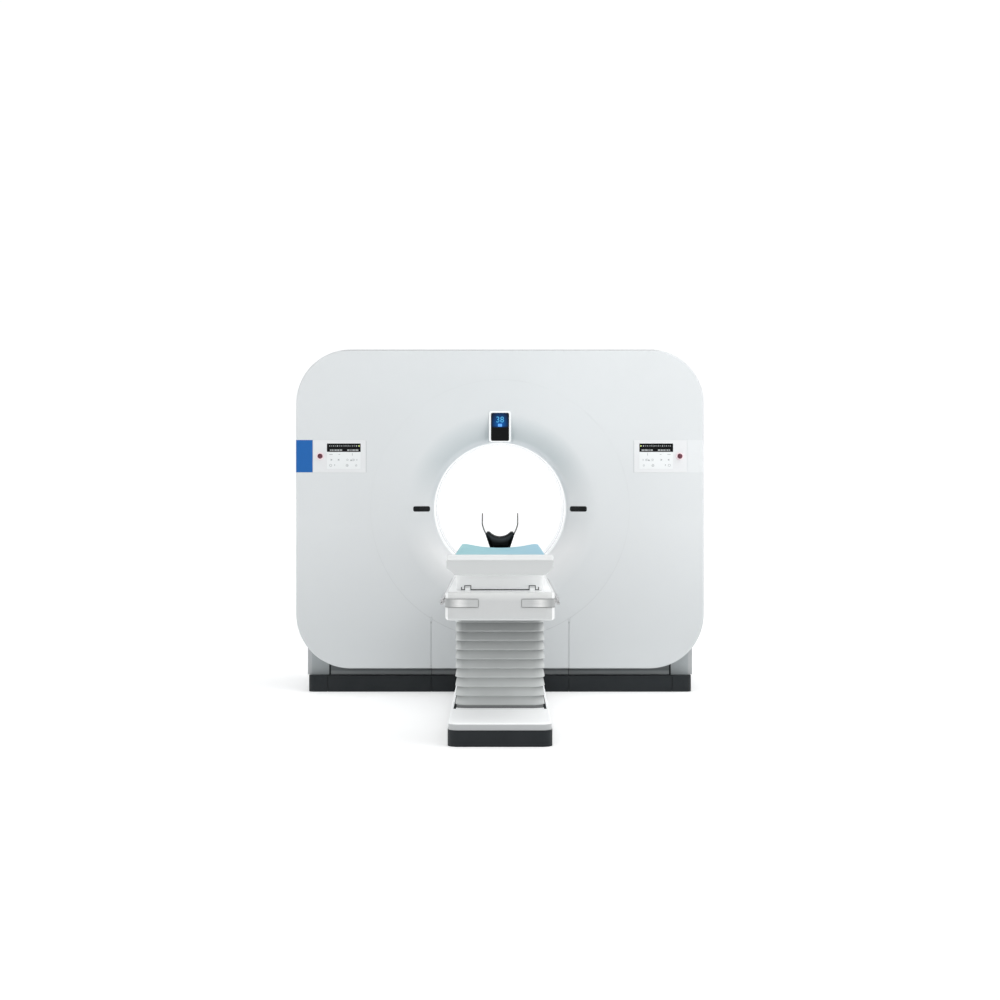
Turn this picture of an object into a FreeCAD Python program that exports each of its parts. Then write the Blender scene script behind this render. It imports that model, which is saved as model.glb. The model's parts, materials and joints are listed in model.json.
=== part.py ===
import FreeCAD, Part
import math
import os
from FreeCAD import Vector

# ---------------------------------------------------------------------------------------
# CT scanner: a ring-shaped gantry on a plinth, and a patient table in front of it.
# Millimetres.  +X is to the right, +Y runs from the table's foot into the gantry, +Z is up.
# The origin is on the floor, under the point where the rotor's axis crosses the scan plane.
# ---------------------------------------------------------------------------------------

# Clearances
slide_gap = 0.3           # between pieces that slide on, lie on or fit round each other
shaft_gap = 0.08          # on the radius of each shaft in its bore
seam = 3.0                # open line between two white covers
panel_gap = 0.8           # open line between two grey covers

# Gantry covers
gantry_depth = 1050.0
iso_height = 1100.0       # rotor axis above the floor
panel_height = 1916.0
corner_radius = 327.0
edge_radius = 10.0
cover_wall = 8.0
cover_rim = 250.0         # how far the white covers reach round the sides
ring_radius = 777.0       # seam of the round centre cover
service_half_width = 414.0
lip_width = 15.0          # hidden lips that carry a cover behind its neighbour
lip_thick = 6.0

# Mouth and bore
bore_radius = 400.0
flare_radius = 600.0
flare_depth = 110.0
throat_round = 60.0
liner_wall = 4.0
window_width = 120.0      # thin band in the scan plane
window_wall = 1.6

# Grey body between the white covers
body_inset = 62.0
body_setback = 95.0       # its front behind the gantry's face
body_wall = 6.0
body_turn_in = 129.0      # how far it turns in at the front and back
body_foot = 45.0          # flange that stands on the plinth
top_cover_height = 490.0

# Plinth
plinth_height = 97.0
plinth_step = 10.0        # inside the grey body, at the sides
plinth_setback = 25.0     # behind the gantry's face
plinth_wall = 10.0
plinth_top = 6.0
plinth_radius = 40.0
plinth_corner = 117.0     # length of the front corner pieces along the front
plinth_seam = 3.0

# Base frame
frame_inset = 63.0        # inside the grey body, at the sides
beam_width = 80.0
beam_low = 20.0
beam_high = 150.0
beam_wall = 6.0
anchor_in = 140.0         # anchor hole from the frame's outer edge, both ways
anchor_radius = 11.0
foot_size = 200.0

# Stator plate and bearing
stator_thick = 60.0
stator_ring = 820.0
stator_foot = 1000.0
stator_window = 120.0     # radius of the lightening holes
bearing_outer = 570.0
bearing_inner = 505.0
bearing_length = 80.0
bearing_flange = 30.0

# Rotor
hub_radius = 460.0
hub_recess = 475.0        # wider front end of the hub's bore
hub_recess_depth = 60.0
disc_front = 120.0        # front face of the rotor disc, behind the scan plane
disc_thick = 30.0
rim_radius = 800.0
rim_wall = 22.0
rim_width = 46.0
slip_inner = 560.0
slip_outer = 700.0
slip_thick = 25.0
slip_track = 16.0
tube_radius = 125.0
tube_offset = 640.0
tube_front = 130.0
focus_distance = 570.0
detector_distance = 470.0 # from the rotor's axis
detector_depth = 105.0
detector_half_angle = 26.0
detector_half_width = 90.0
detector_modules = 18
fan_slot_width = 16.0     # slot of the collimator
hub_gap = 4.0             # under the collimator
box_near = 560.0          # generator and heat exchanger, from the axis
box_far = 755.0
box_half_height = 190.0
box_front = 110.0
fin_count = 9

# Belt drive
motor_distance = 1040.0
motor_angle = -35.0
motor_radius = 92.0
pulley_radius = 60.0
shaft_radius = 14.0
belt_width = 26.0
belt_thick = 5.0

# Cooling fans
fan_size = 200.0
fan_depth = 40.0
fan_offset = 330.0
fan_radius = 88.0
fan_tip_gap = 4.0
fan_hub = 26.0
fan_pin = 4.0
fan_blades = 7
vent_slots = 9
vent_width = 8.0
vent_length = 170.0

# Consoles, one at each side of the panel
console_low = 1320.0
console_high = 1514.0
console_gap = 28.0        # from the centre cover's seam to the console
edge_strip = 102.0        # from the console to the gantry's edge
console_width = 318.0
console_proud = 1.0
screen_width = 202.0
screen_height = 50.0
screen_depth = 2.5
keypad_height = 102.0
keypad_depth = 1.5
inset_from_edge = 32.0    # screen and keypad from the console's inner end
screen_from_top = 21.0
estop_from_edge = 44.0
collar_radius = 22.0
collar_height = 8.0
sleeve_radius = 16.0
button_radius = 15.0
button_stem = 8.0
button_dome = 9.0
button_travel = 5.0
label_thick = 0.8

# Display over the mouth and laser windows beside it
display_width = 110.0
display_height = 170.0
display_low = 408.0       # lower edge above the axis
display_depth = 3.0
pod_margin = 12.0
pod_proud = 3.0
pod_wall = 6.0
laser_offset = 472.0
laser_length = 100.0
laser_height = 33.0
laser_sunk = 1.0
laser_thick = 4.0

# Table base
table_reach = 2400.0      # from the gantry's face to the foot's front
foot_width = 500.0
foot_radius = 55.0
foot_plinth_height = 78.0
foot_wall = 6.0
base_cover_inset = 3.0
base_cover_wall = 4.0
base_cover_front = 111.0
base_cover_top = 126.0
base_cover_edge = 10.0
floor_plate = 12.0
floor_plate_width = 380.0
base_beam_top = 80.0
base_beam_width = 30.0
table_anchor_radius = 8.5
table_anchor_across = 260.0
table_anchor_along = 1900.0

# Bellows
bellows_setback = 500.0   # behind the foot's front
bellows_width = 450.0
bellows_length = 1300.0
bellows_corner = 60.0
bellows_bottom = 86.0
bellows_seat = 6.0
pleat_pitch = 46.0
pleat_count = 13
pleat_depth = 11.0
bellows_wall = 2.5

# Lift columns
column_size = 240.0
column_wall = 8.0
column_corner = 24.0
column_flange = 290.0
stage_gap = 1.0           # above and below a stage at the ends of its travel
stage_step = 4.0          # each stage is this much shorter than the next inner one
lift_down = 335.0
lift_up = 115.0

# Carriage
carriage_low = 598.0
carriage_high = 733.0
carriage_width = 520.0
carriage_gap = 75.0       # between its end and the gantry's face
carriage_corner = 45.0
carriage_edge = 8.0
carriage_round = 14.0     # its lower edge
carriage_hem = 22.0       # how far it turns in below
carriage_wall = 4.0
deck_thick = 10.0
deck_lip = 14.0
deck_rail_offset = 155.0
deck_rail_width = 24.0
deck_rail_height = 15.0
frame_beam = 26.0
head_plate = 8.0
grip_low = 660.0
grip_high = 701.0
grip_front = 101.0        # inner end of each grip, from the middle
grip_side = 135.0         # how far it runs along the side
grip_thick = 4.5
grip_proud = 2.5
grip_recess_gap = 1.0
rail_offset = 274.0
rail_thick = 12.0
rail_neck = 5.0
rail_foot = 16.0          # width of its thicker lower edge
rail_foot_height = 9.0
rail_height = 25.0
rail_mid = 677.0
rail_start = 165.0
rail_end = 50.0
rail_posts = 5
rail_post_radius = 8.0

# Trolley and tabletop
table_stroke = 1700.0
trolley_setback = 140.0
trolley_length = 450.0
trolley_width = 414.0
trolley_flare = 8.0
trolley_corner = 25.0
trolley_wall = 5.0
trolley_top = 8.0
trolley_lift = 2.0
notch_side = 4.0
shoe_width = 44.0
shoe_length = 90.0
pallet_under = 815.0
pallet_width = 450.0
pallet_flat = 430.0
pallet_bevel_top = 850.0
pallet_rim = 897.0
pallet_rim_width = 6.0
pallet_dip = 868.0        # lowest line of the hollow top
pallet_end = 1710.0       # head end behind the foot's front
cap_width = 508.0
cap_thick = 40.0
cap_recess = 5.0
cap_lip_low = 881.0
cap_lip_high = 910.0
cap_lip_round = 13.0
mattress_width = 444.0
mattress_thick = 22.0
mattress_edge = 5.0
mattress_margin = 12.0

# Head holder
holder_length = 250.0
holder_wall = 5.0
holder_low = 881.0
holder_floor = 54.0       # half width of its floor
holder_knee = 83.0
holder_knee_height = 968.0
holder_half = 103.0
holder_shoulder = 1022.0
holder_bulge = 2.5        # of its curved shoulder
holder_high = 1083.0
tongue_low = 836.0
tongue_thick = 14.0
tongue_length = 60.0
tongue_half = 46.0
pad_horn = 981.0
pad_horn_half = 66.0
pad_horn_round = 5.0
pad_flank = 20.0          # height of the horns' outer slopes
pad_dip = 948.0

# ---------------------------------------------------------------------------------------
# Places that follow from the sizes
# ---------------------------------------------------------------------------------------
half_width = ring_radius + console_gap + console_width + edge_strip
half_depth = gantry_depth / 2
face = -half_depth
panel_low = iso_height - panel_height / 2
panel_high = iso_height + panel_height / 2
body_half = half_width - body_inset
body_front = face + body_setback
body_inner_front = body_front + body_wall
body_split = panel_high - body_inset - top_cover_height
plinth_half = body_half - plinth_step
plinth_front = face + plinth_setback
frame_half = body_half - frame_inset
anchor_x = frame_half - anchor_in
anchor_y = -body_inner_front - anchor_in
stator_front = -body_inner_front - beam_width
disc_back = disc_front + disc_thick
motor_x = motor_distance * math.cos(math.radians(motor_angle))
motor_z = iso_height + motor_distance * math.sin(math.radians(motor_angle))
fan_top = panel_high - body_inset - body_wall
console_end = half_width - edge_strip
detector_radius = focus_distance + detector_distance
foot_front = face - table_reach
table_end = plinth_front - slide_gap
bellows_front = foot_front + bellows_setback
bellows_back = bellows_front + bellows_length
bellows_top = bellows_bottom + pleat_pitch * pleat_count
column_places = [bellows_front + bellows_length / 4, bellows_back - bellows_length / 4]
table_middle = (bellows_front + bellows_back) / 2
carriage_end = face - carriage_gap
pallet_front = foot_front + cap_thick
pallet_back = foot_front + pallet_end
axis_point = Vector(0, 0, iso_height)
along_y = Vector(0, 1, 0)
up = Vector(0, 0, 1)


# ---------------------------------------------------------------------------------------
# Shape helpers
# ---------------------------------------------------------------------------------------
def place(plane, u, v, w):
    """The point at (u, v) on a plane that lies w along its normal."""
    if plane == "xz":
        return Vector(u, w, v)
    if plane == "yz":
        return Vector(w, u, v)
    return Vector(u, v, w)


def outline(plane, w, start, *steps):
    """Closed wire: a step of two numbers is a line's end, one of four an arc's middle and end."""
    first = place(plane, *start, w)
    here = first
    edges = []
    for step in steps:
        there = place(plane, *step[-2:], w)
        if len(step) == 4:
            edges.append(Part.Arc(here, place(plane, *step[:2], w), there).toShape())
        else:
            edges.append(Part.LineSegment(here, there).toShape())
        here = there
    if here.distanceToPoint(first) > 1e-6:
        edges.append(Part.LineSegment(here, first).toShape())
    return Part.Wire(edges)


def rounded(plane, w, u0, u1, v0, v1, radius):
    """Closed rounded rectangle."""
    if radius <= 0:
        return outline(plane, w, (u0, v0), (u1, v0), (u1, v1), (u0, v1))
    k = radius * (1 - math.sqrt(0.5))
    return outline(
        plane, w, (u0 + radius, v0),
        (u1 - radius, v0), (u1 - k, v0 + k, u1, v0 + radius),
        (u1, v1 - radius), (u1 - k, v1 - k, u1 - radius, v1),
        (u0 + radius, v1), (u0 + k, v1 - k, u0, v1 - radius),
        (u0, v0 + radius), (u0 + k, v0 + k, u0 + radius, v0))


def normal(plane):
    """Unit vector square to a plane."""
    return {"xz": Vector(0, 1, 0), "yz": Vector(1, 0, 0), "xy": Vector(0, 0, 1)}[plane]


def prism(wire, plane, length):
    """Solid from a flat wire, pushed along its plane's normal."""
    return Part.Face(wire).extrude(normal(plane) * length)


def block(plane, w0, w1, u0, u1, v0, v1, radius=0.0):
    """Block between w0 and w1, with its four edges along the normal rounded."""
    low, high = min(w0, w1), max(w0, w1)
    return prism(rounded(plane, low, u0, u1, v0, v1, radius), plane, high - low)


def box(x0, x1, y0, y1, z0, z1):
    """Plain block."""
    return Part.makeBox(x1 - x0, y1 - y0, z1 - z0, Vector(x0, y0, z0))


def rod(radius, start, axis, length):
    """Cylinder from a point along an axis."""
    return Part.makeCylinder(radius, length, start, axis)


def turned(*steps):
    """Solid turned about the rotor's axis, from (y, radius) points and arcs."""
    moved = []
    for step in steps:
        lifted = [n + iso_height * (i % 2) for i, n in enumerate(step)]
        moved.append(tuple(lifted))
    wire = outline("yz", 0, *moved)
    return Part.Face(wire).revolve(axis_point, along_y, 360)


def disc(radius, y0, y1):
    """Round slab about the rotor's axis."""
    return rod(radius, Vector(0, y0, iso_height), along_y, y1 - y0)


def ring(outer, inner, y0, y1):
    """Flat ring about the rotor's axis."""
    return disc(outer, y0, y1).cut(disc(inner, y0 - 1, y1 + 1))


def fuse(shapes):
    """All shapes as one solid."""
    whole = shapes[0].fuse(shapes[1:]) if len(shapes) > 1 else shapes[0]
    return whole.removeSplitter()


def cut(shape, *tools):
    """A shape with tools taken away."""
    return shape.cut(list(tools))


def round_edges(shape, radius, wanted):
    """Fillet on the edges whose middle passes a test."""
    edges = [e for e in shape.Edges if wanted(e.CenterOfMass, e)]
    return shape.makeFillet(radius, edges)


def mirrored(shape):
    """Copy on the other side of the middle plane."""
    return shape.mirror(Vector(0, 0, 0), Vector(1, 0, 0))


def turned_back(shape):
    """Copy mirrored from the front of the gantry to its back."""
    return shape.mirror(Vector(0, 0, 0), along_y)


def both(shape):
    """A piece and its mirror image, as one group."""
    return Part.makeCompound([shape, mirrored(shape)])


# ---------------------------------------------------------------------------------------
# White covers of the gantry
# ---------------------------------------------------------------------------------------
def panel_body(inset, depth_in, reach):
    """Block of the panel's outline, drawn in by inset, with its face edge rounded."""
    side = half_width - inset
    y0 = face + depth_in
    body = block("xz", y0, face + reach, -side, side,
                 panel_low + inset, panel_high - inset, corner_radius - inset)
    return round_edges(body, edge_radius - inset, lambda c, e: abs(c.y - y0) < 1e-3)


def body_block(inset, y0, y1, low=0.0):
    """Arch-shaped block of the grey body's outline, drawn in by inset."""
    side = body_half - inset
    top = panel_high - body_inset - inset
    radius = corner_radius - body_inset - inset
    k = radius * (1 - math.sqrt(0.5))
    wire = outline(
        "xz", y0, (-side, low), (side, low), (side, top - radius),
        (side - k, top - k, side - radius, top), (-side + radius, top),
        (-side + k, top - k, -side, top - radius))
    return prism(wire, "xz", y1 - y0)


def white_shell():
    """Hollow front cover with its return towards the grey body, still in one piece."""
    outer = panel_body(0, 0, cover_rim)
    inner = panel_body(cover_wall, cover_wall, cover_rim - cover_wall)
    body = body_block(-slide_gap, body_front - slide_gap, 0)
    return cut(outer, inner, body)


def service_cutter(half, radius):
    """Space below the centre cover, between the two upright seams."""
    space = box(-half, half, face - 1, body_front, 0, iso_height)
    return cut(space, disc(radius, face - 2, body_front + 1))


def front_cover(shell):
    """White front cover, open for the centre cover, the service panel and the consoles."""
    hole = disc(ring_radius + seam / 2, face - 1, face + cover_rim)
    notch = box(-service_half_width - seam / 2, service_half_width + seam / 2,
                face - 1, face + cover_rim, 0, iso_height)
    windows = both(console_plate(slide_gap, face - 1, face + cover_wall + 1))
    return cut(shell, hole, notch, windows)


def service_panel(shell):
    """Lower centre cover, with a lip behind the front cover at each side."""
    low = service_cutter(service_half_width - seam / 2, ring_radius + seam / 2)
    panel = shell.common(low)
    inner_face = face + cover_wall
    edge = service_half_width - seam / 2
    lip_top = iso_height - math.sqrt((ring_radius + lip_width) ** 2 - (edge - lip_width) ** 2) - seam
    lip_low = panel_low + edge_radius + cover_wall
    for sign in (-1, 1):
        inside = sorted((sign * (edge - lip_width), sign * edge))
        across = sorted((sign * (edge - lip_width), sign * (edge + seam + lip_width)))
        root = box(*inside, inner_face, inner_face + lip_thick, lip_low, lip_top)
        lip = box(*across, inner_face + slide_gap, inner_face + lip_thick, lip_low, lip_top)
        panel = panel.fuse([root, lip])
    return panel.removeSplitter()


def rear_cover(shell):
    """White rear cover, in one piece below its centre cover."""
    hole = disc(ring_radius + seam / 2, face - 1, face + cover_rim)
    return turned_back(cut(shell, hole))


def flare(offset):
    """(y, radius) steps of the mouth's curve from the flat face to the bore, offset inwards."""
    reach = flare_radius - bore_radius
    turn = 2 * math.atan((flare_depth - throat_round) / (reach - throat_round))
    wide = (reach - throat_round) / math.sin(turn) + throat_round
    r1 = wide - offset
    r2 = throat_round - offset

    def on_wide(t):
        return (face + wide - r1 * math.cos(t), flare_radius - r1 * math.sin(t))

    def on_throat(t):
        return (face + flare_depth - r2 * math.cos(t), bore_radius + throat_round - r2 * math.sin(t))

    square = math.pi / 2
    return [on_wide(0), on_wide(turn / 2) + on_wide(turn),
            on_throat((turn + square) / 2) + on_throat(square)]


def reversed_steps(steps):
    """The same line and arc steps, walked from the other end."""
    ends = [step[-2:] for step in steps]
    back = [ends[-1]]
    for i in range(len(steps) - 1, 0, -1):
        back.append(steps[i][:-2] + ends[i - 1])
    return back


def centre_cover():
    """Round front centre cover: a flat rim, the flared mouth and a lip behind the front cover."""
    outer = ring_radius - seam / 2
    inner_face = face + cover_wall
    lip = outer + seam + lip_width
    back = inner_face + lip_thick
    return turned((face, outer), *flare(0), *reversed_steps(flare(cover_wall)),
                  (inner_face, outer - lip_width), (back, outer - lip_width), (back, lip),
                  (inner_face + slide_gap, lip), (inner_face + slide_gap, outer))


def laser_slot(grow, y0, y1):
    """Prism of the laser window beside the mouth."""
    half = laser_length / 2 + grow
    tall = laser_height / 2 + grow
    return block("xz", y0, y1, laser_offset - half, laser_offset + half,
                 iso_height - tall, iso_height + tall, laser_height / 3)


def display_block(grow, y0, y1, radius):
    """Upright block at the display's place."""
    half = display_width / 2 + grow
    low = iso_height + display_low - grow
    return block("xz", y0, y1, -half, half, low, low + display_height + 2 * grow, radius)


def front_ring_cover():
    """Centre cover with the display pod over the mouth and slots for the laser windows."""
    cover = centre_cover()
    pod_face = face - pod_proud
    low_grow = min(pod_margin, display_low - bore_radius - shaft_gap)
    pod = display_block(pod_margin, pod_face, face + flare_depth, pod_margin)
    pod = cut(pod, box(-half_width, half_width, pod_face - 1, 0, 0,
                       iso_height + display_low - low_grow))
    pod = round_edges(pod, pod_wall / 2, lambda c, e: abs(c.y - pod_face) < 1e-3)
    hollow = display_block(pod_margin - pod_wall, pod_face + pod_wall + display_depth,
                           face + flare_depth + 1, pod_wall)
    keep = box(-half_width, half_width, face - 2, 0,
               iso_height + display_low + pod_wall, panel_high)
    recess = display_block(slide_gap, pod_face - 1, pod_face + display_depth, pod_wall)
    slots = both(laser_slot(0, face - 1, face + flare_depth + cover_wall))
    cover = cut(cover.fuse(pod), hollow.common(keep), recess, slots)
    return cover.removeSplitter()


def rear_ring_cover():
    """Round rear centre cover with the same flared mouth."""
    return turned_back(centre_cover())


def gantry_display():
    """Black display panel in the pod."""
    pod_face = face - pod_proud
    glass = display_block(0, pod_face, pod_face + display_depth, pod_wall)
    return round_edges(glass, display_depth / 4, lambda c, e: abs(c.y - pod_face) < 1e-3)


def laser_windows():
    """Dark windows that follow the mouth's curve, a little below its surface."""
    skin = turned(*flare(laser_sunk), *reversed_steps(flare(laser_sunk + laser_thick)))
    return both(skin.common(laser_slot(-slide_gap, face - 1, face + flare_depth)))


def bore_liner():
    """Front and rear tubes of the bore, with the scan window's band between them."""
    end = half_depth - flare_depth
    tube = ring(bore_radius + liner_wall, bore_radius, window_width / 2, end)
    return Part.makeCompound([turned_back(tube), tube])


def scan_window():
    """Thin band that the rays pass."""
    return ring(bore_radius + window_wall, bore_radius, -window_width / 2, window_width / 2)


# ---------------------------------------------------------------------------------------
# Grey body and plinth
# ---------------------------------------------------------------------------------------
def grey_body():
    """Whole grey body between the white covers, before it is divided."""
    outer = body_block(0, body_front, -body_front, plinth_height)
    inner = body_block(body_wall, body_inner_front, -body_inner_front, plinth_height + body_wall)
    mouth = body_block(body_turn_in, body_front - 1, 1 - body_front)
    floor = box(-body_half + body_foot, body_half - body_foot, body_inner_front,
                -body_inner_front, 0, plinth_height + 2 * body_wall)
    return cut(outer, inner, mouth, floor)


def side_cover(body):
    """Left grey cover, from the plinth up to the top cover."""
    return body.common(box(-half_width, -1, face, half_depth, 0, body_split - panel_gap / 2))


def top_cover(body):
    """Grey top cover with a vent over each fan."""
    cover = body.common(box(-half_width, half_width, face, half_depth,
                            body_split + panel_gap / 2, panel_high))
    slots = []
    pitch = (fan_size - vent_width) / vent_slots
    for centre in (-fan_offset, fan_offset):
        for i in range(vent_slots):
            x = centre + (i - (vent_slots - 1) / 2) * pitch
            slots.append(block("xy", fan_top - 1, panel_high, x - vent_width / 2, x + vent_width / 2,
                               -vent_length / 2, vent_length / 2, vent_width / 2.2))
    return cut(cover, *slots)


def plinth_ring():
    """Whole charcoal skirt with its top flange up to the base frame, before it is divided."""
    front = -plinth_front
    outer = block("xy", 0, plinth_height, -plinth_half, plinth_half, -front, front, plinth_radius)
    inner = block("xy", -1, plinth_height - plinth_top, -plinth_half + plinth_wall,
                  plinth_half - plinth_wall, -front + plinth_wall, front - plinth_wall,
                  plinth_radius - plinth_wall)
    side = frame_half + slide_gap
    depth = -body_inner_front + slide_gap
    opening = box(-side, side, -depth, depth, 0, plinth_height + 1)
    outer = round_edges(outer, plinth_top / 2,
                        lambda c, e: abs(c.z - plinth_height) < 1e-3)
    return cut(outer, inner, opening)


def plinth_front_piece(skirt, x0, x1):
    """Stretch of the front skirt between two seams."""
    return skirt.common(box(x0 + plinth_seam / 2, x1 - plinth_seam / 2, plinth_front - 1,
                            body_inner_front, -1, plinth_height + 1))


def plinth_side(skirt):
    """Left skirt: the front corner, the side and the rear half."""
    corner = -plinth_half + plinth_corner
    side = box(-half_width, -plinth_seam / 2, -half_depth, half_depth, -1, plinth_height + 1)
    front = box(corner - plinth_seam / 2, 1, plinth_front - 1, 0, -2, plinth_height + 2)
    return cut(skirt.common(side), front)


# ---------------------------------------------------------------------------------------
# Base frame, stator plate and bearing
# ---------------------------------------------------------------------------------------
def base_frame():
    """Welded frame of open-bottomed beams on four anchor feet."""
    depth = -body_inner_front
    outer = box(-frame_half, frame_half, -depth, depth, beam_low, beam_high)
    bay_x = frame_half - beam_width
    bay_y = depth - beam_width
    bay = box(-bay_x, bay_x, -bay_y, bay_y, 0, beam_high + 1)
    hollow = box(-frame_half + beam_wall, frame_half - beam_wall, -depth + beam_wall,
                 depth - beam_wall, 0, beam_high - beam_wall)
    core = box(-bay_x - beam_wall, bay_x + beam_wall, -bay_y - beam_wall, bay_y + beam_wall,
               -1, beam_high)
    shapes = [cut(outer, bay, cut(hollow, core))]
    drills = []
    for sx in (-1, 1):
        for sy in (-1, 1):
            xs = sorted((sx * frame_half, sx * (frame_half - foot_size)))
            ys = sorted((sy * depth, sy * (depth - foot_size)))
            shapes.append(box(*xs, *ys, 0, beam_low))
            drills.append(rod(anchor_radius, Vector(sx * anchor_x, sy * anchor_y, -1), up,
                              beam_low + 2))
    return cut(fuse(shapes), *drills)


def stator_frame():
    """Upright cast plate: a ring on a broad foot, with lightening holes and edge ribs."""
    back = stator_front + stator_thick
    foot = prism(outline("xz", stator_front, (-stator_foot, beam_high), (stator_foot, beam_high),
                         (stator_foot, beam_high + stator_thick * 2),
                         (stator_ring, iso_height), (-stator_ring, iso_height),
                         (-stator_foot, beam_high + stator_thick * 2)), "xz", stator_thick)
    plate = foot.fuse(disc(stator_ring, stator_front, back))
    web = stator_thick / 2
    pockets = []
    for angle in (28, 58, 90, 122, 152):
        a = math.radians(angle)
        mid = (stator_ring + bearing_outer) / 2
        size = (stator_ring - bearing_outer) / 3
        spot = Vector(mid * math.cos(a), stator_front + web, iso_height + mid * math.sin(a))
        pockets.append(rod(size, spot, along_y, stator_thick))
    for sign in (-1, 1):
        spot = Vector(sign * stator_ring * 0.85, stator_front - 1, iso_height - stator_ring * 0.8)
        pockets.append(rod(stator_window, spot, along_y, stator_thick + 2))
    seat = disc(bearing_outer + slide_gap, stator_front - 1, back + 1)
    return cut(plate, seat, *pockets)


def main_bearing():
    """Outer race of the rotor's bearing, with its bolting flange in front of the stator plate."""
    start = stator_front - bearing_flange
    end = start + bearing_length
    return turned((start, bearing_inner), (end, bearing_inner), (end, bearing_outer),
                  (stator_front, bearing_outer), (stator_front, bearing_outer + bearing_flange),
                  (start, bearing_outer + bearing_flange))


# ---------------------------------------------------------------------------------------
# Rotor
# ---------------------------------------------------------------------------------------
def rotor_ring():
    """Hub that runs in the bearing, disc that carries the units, and rim that carries the belt."""
    journal = bearing_inner - shaft_gap
    hub_end = stator_front - bearing_flange + bearing_length
    mid = disc_front + disc_thick / 2
    rim_front = mid - rim_width / 2
    rim_back = mid + rim_width / 2
    bed = rim_radius - rim_wall
    recess_end = disc_front + hub_recess_depth
    return turned((disc_front, hub_recess), (recess_end, hub_recess), (recess_end, hub_radius),
                  (hub_end, hub_radius), (hub_end, journal),
                  (disc_back, journal), (disc_back, bed), (rim_back, bed),
                  (rim_back, rim_radius), (rim_front, rim_radius), (rim_front, bed),
                  (disc_front, bed))


def slip_ring():
    """Flat slip ring on the back of the disc, with one groove for each track."""
    back = disc_back + slip_thick
    grooves = [ring(r + slip_track / 2, r - slip_track / 2, back - slip_track / 4, back + 1)
               for r in slip_tracks()]
    return cut(ring(slip_outer, slip_inner, disc_back, back), *grooves)


def slip_tracks():
    """Middle radius of each track."""
    count = int((slip_outer - slip_inner) / (2 * slip_track))
    pitch = (slip_outer - slip_inner) / count
    return [slip_inner + (i + 0.5) * pitch for i in range(count)]


def brush_block():
    """Brush carrier on the stator plate, with one brush in each track."""
    ring_back = disc_back + slip_thick
    half = slip_track * 2
    middle = iso_height - (slip_inner + slip_outer) / 2
    reach = (slip_outer - slip_inner) / 2
    start = ring_back + slip_track / 2
    body = box(-half, half, start, start + 3 * slip_track, middle - reach, middle + reach)
    arm = box(-half, half, start + slip_track, stator_front, middle - reach,
              iso_height - bearing_outer - bearing_flange - slide_gap)
    shapes = [body, arm]
    for radius in slip_tracks():
        shapes.append(rod(slip_track / 4, Vector(0, ring_back - slip_track / 4 + slide_gap,
                                                 iso_height - radius), along_y, slip_track))
    return fuse(shapes)


def xray_tube():
    """Round tube housing with stepped ends on its mounting plate."""
    centre = Vector(0, 0, iso_height + tube_offset)
    step = tube_radius / 5
    housing = rod(tube_radius, centre - along_y * (tube_front - step), along_y,
                  tube_front - step + disc_front - step)
    nose = rod(tube_radius - step, centre - along_y * tube_front, along_y, step)
    tail = rod(tube_radius - step, centre + along_y * (disc_front - step), along_y, step)
    neck = box(-tube_radius, tube_radius, disc_front - step, disc_front,
               centre.z - tube_radius, centre.z + tube_radius)
    return fuse([housing, nose, tail, neck])


def collimator():
    """Beam box under the tube, with the fan-shaped slot in the scan plane."""
    top = iso_height + tube_offset - tube_radius - slide_gap
    low = iso_height + hub_radius + hub_gap
    half = tube_radius * 0.9
    body = box(-half, half, -tube_front / 2, disc_front, low, top)
    spread = math.tan(math.radians(detector_half_angle))
    focus = iso_height + focus_distance
    slot = prism(outline("xz", -fan_slot_width / 2,
                         (-(focus - low) * spread, low - 1), ((focus - low) * spread, low - 1),
                         ((focus - top) * spread, top + 1), (-(focus - top) * spread, top + 1)),
                 "xz", fan_slot_width)
    return cut(body, slot)


def fan_sector(radius, depth, half_angle, y0, y1):
    """Curved band centred on the focal spot."""
    focus = iso_height + focus_distance

    def at(r, degrees):
        a = math.radians(degrees)
        return (r * math.sin(a), focus - r * math.cos(a))

    wire = outline("xz", y0, at(radius, -half_angle),
                   at(radius, 0) + at(radius, half_angle), at(radius + depth, half_angle),
                   at(radius + depth, 0) + at(radius + depth, -half_angle))
    return prism(wire, "xz", y1 - y0)


def detector_arc():
    """Detector: a row of modules on a curved carrier, bolted to the rotor disc."""
    carrier = fan_sector(detector_radius + detector_depth / 3, detector_depth * 2 / 3,
                         detector_half_angle, -detector_half_width, disc_front)
    step = 2 * detector_half_angle / detector_modules
    shapes = [carrier]
    focus = Vector(0, 0, iso_height + focus_distance)
    for i in range(detector_modules):
        angle = -detector_half_angle + (i + 0.5) * step
        module = fan_sector(detector_radius, detector_depth / 3 + 1, step * 0.44,
                            -detector_half_width * 0.8, detector_half_width * 0.8)
        shapes.append(module.rotate(focus, along_y, -angle))
    return fuse(shapes)


def rotor_box(fins_across):
    """Unit bolted to the rotor disc at one side, with cooling fins on its front."""
    body = block("xz", -box_front * 0.8, disc_front, box_near, box_far, iso_height - box_half_height,
                 iso_height + box_half_height, box_front / 8)
    shapes = [body]
    length = 2 * box_half_height if fins_across else box_far - box_near
    pitch = length / (fin_count + 1)
    for i in range(fin_count):
        shift = (i + 1) * pitch
        if fins_across:
            z = iso_height - box_half_height + shift
            fin = box(box_near + pitch / 2, box_far - pitch / 2, -box_front, -box_front * 0.8,
                      z - pitch / 8, z + pitch / 8)
        else:
            x = box_near + shift
            fin = box(x - pitch / 8, x + pitch / 8, -box_front, -box_front * 0.8,
                      iso_height - box_half_height * 0.9, iso_height + box_half_height * 0.9)
        shapes.append(fin)
    return fuse(shapes)


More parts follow.
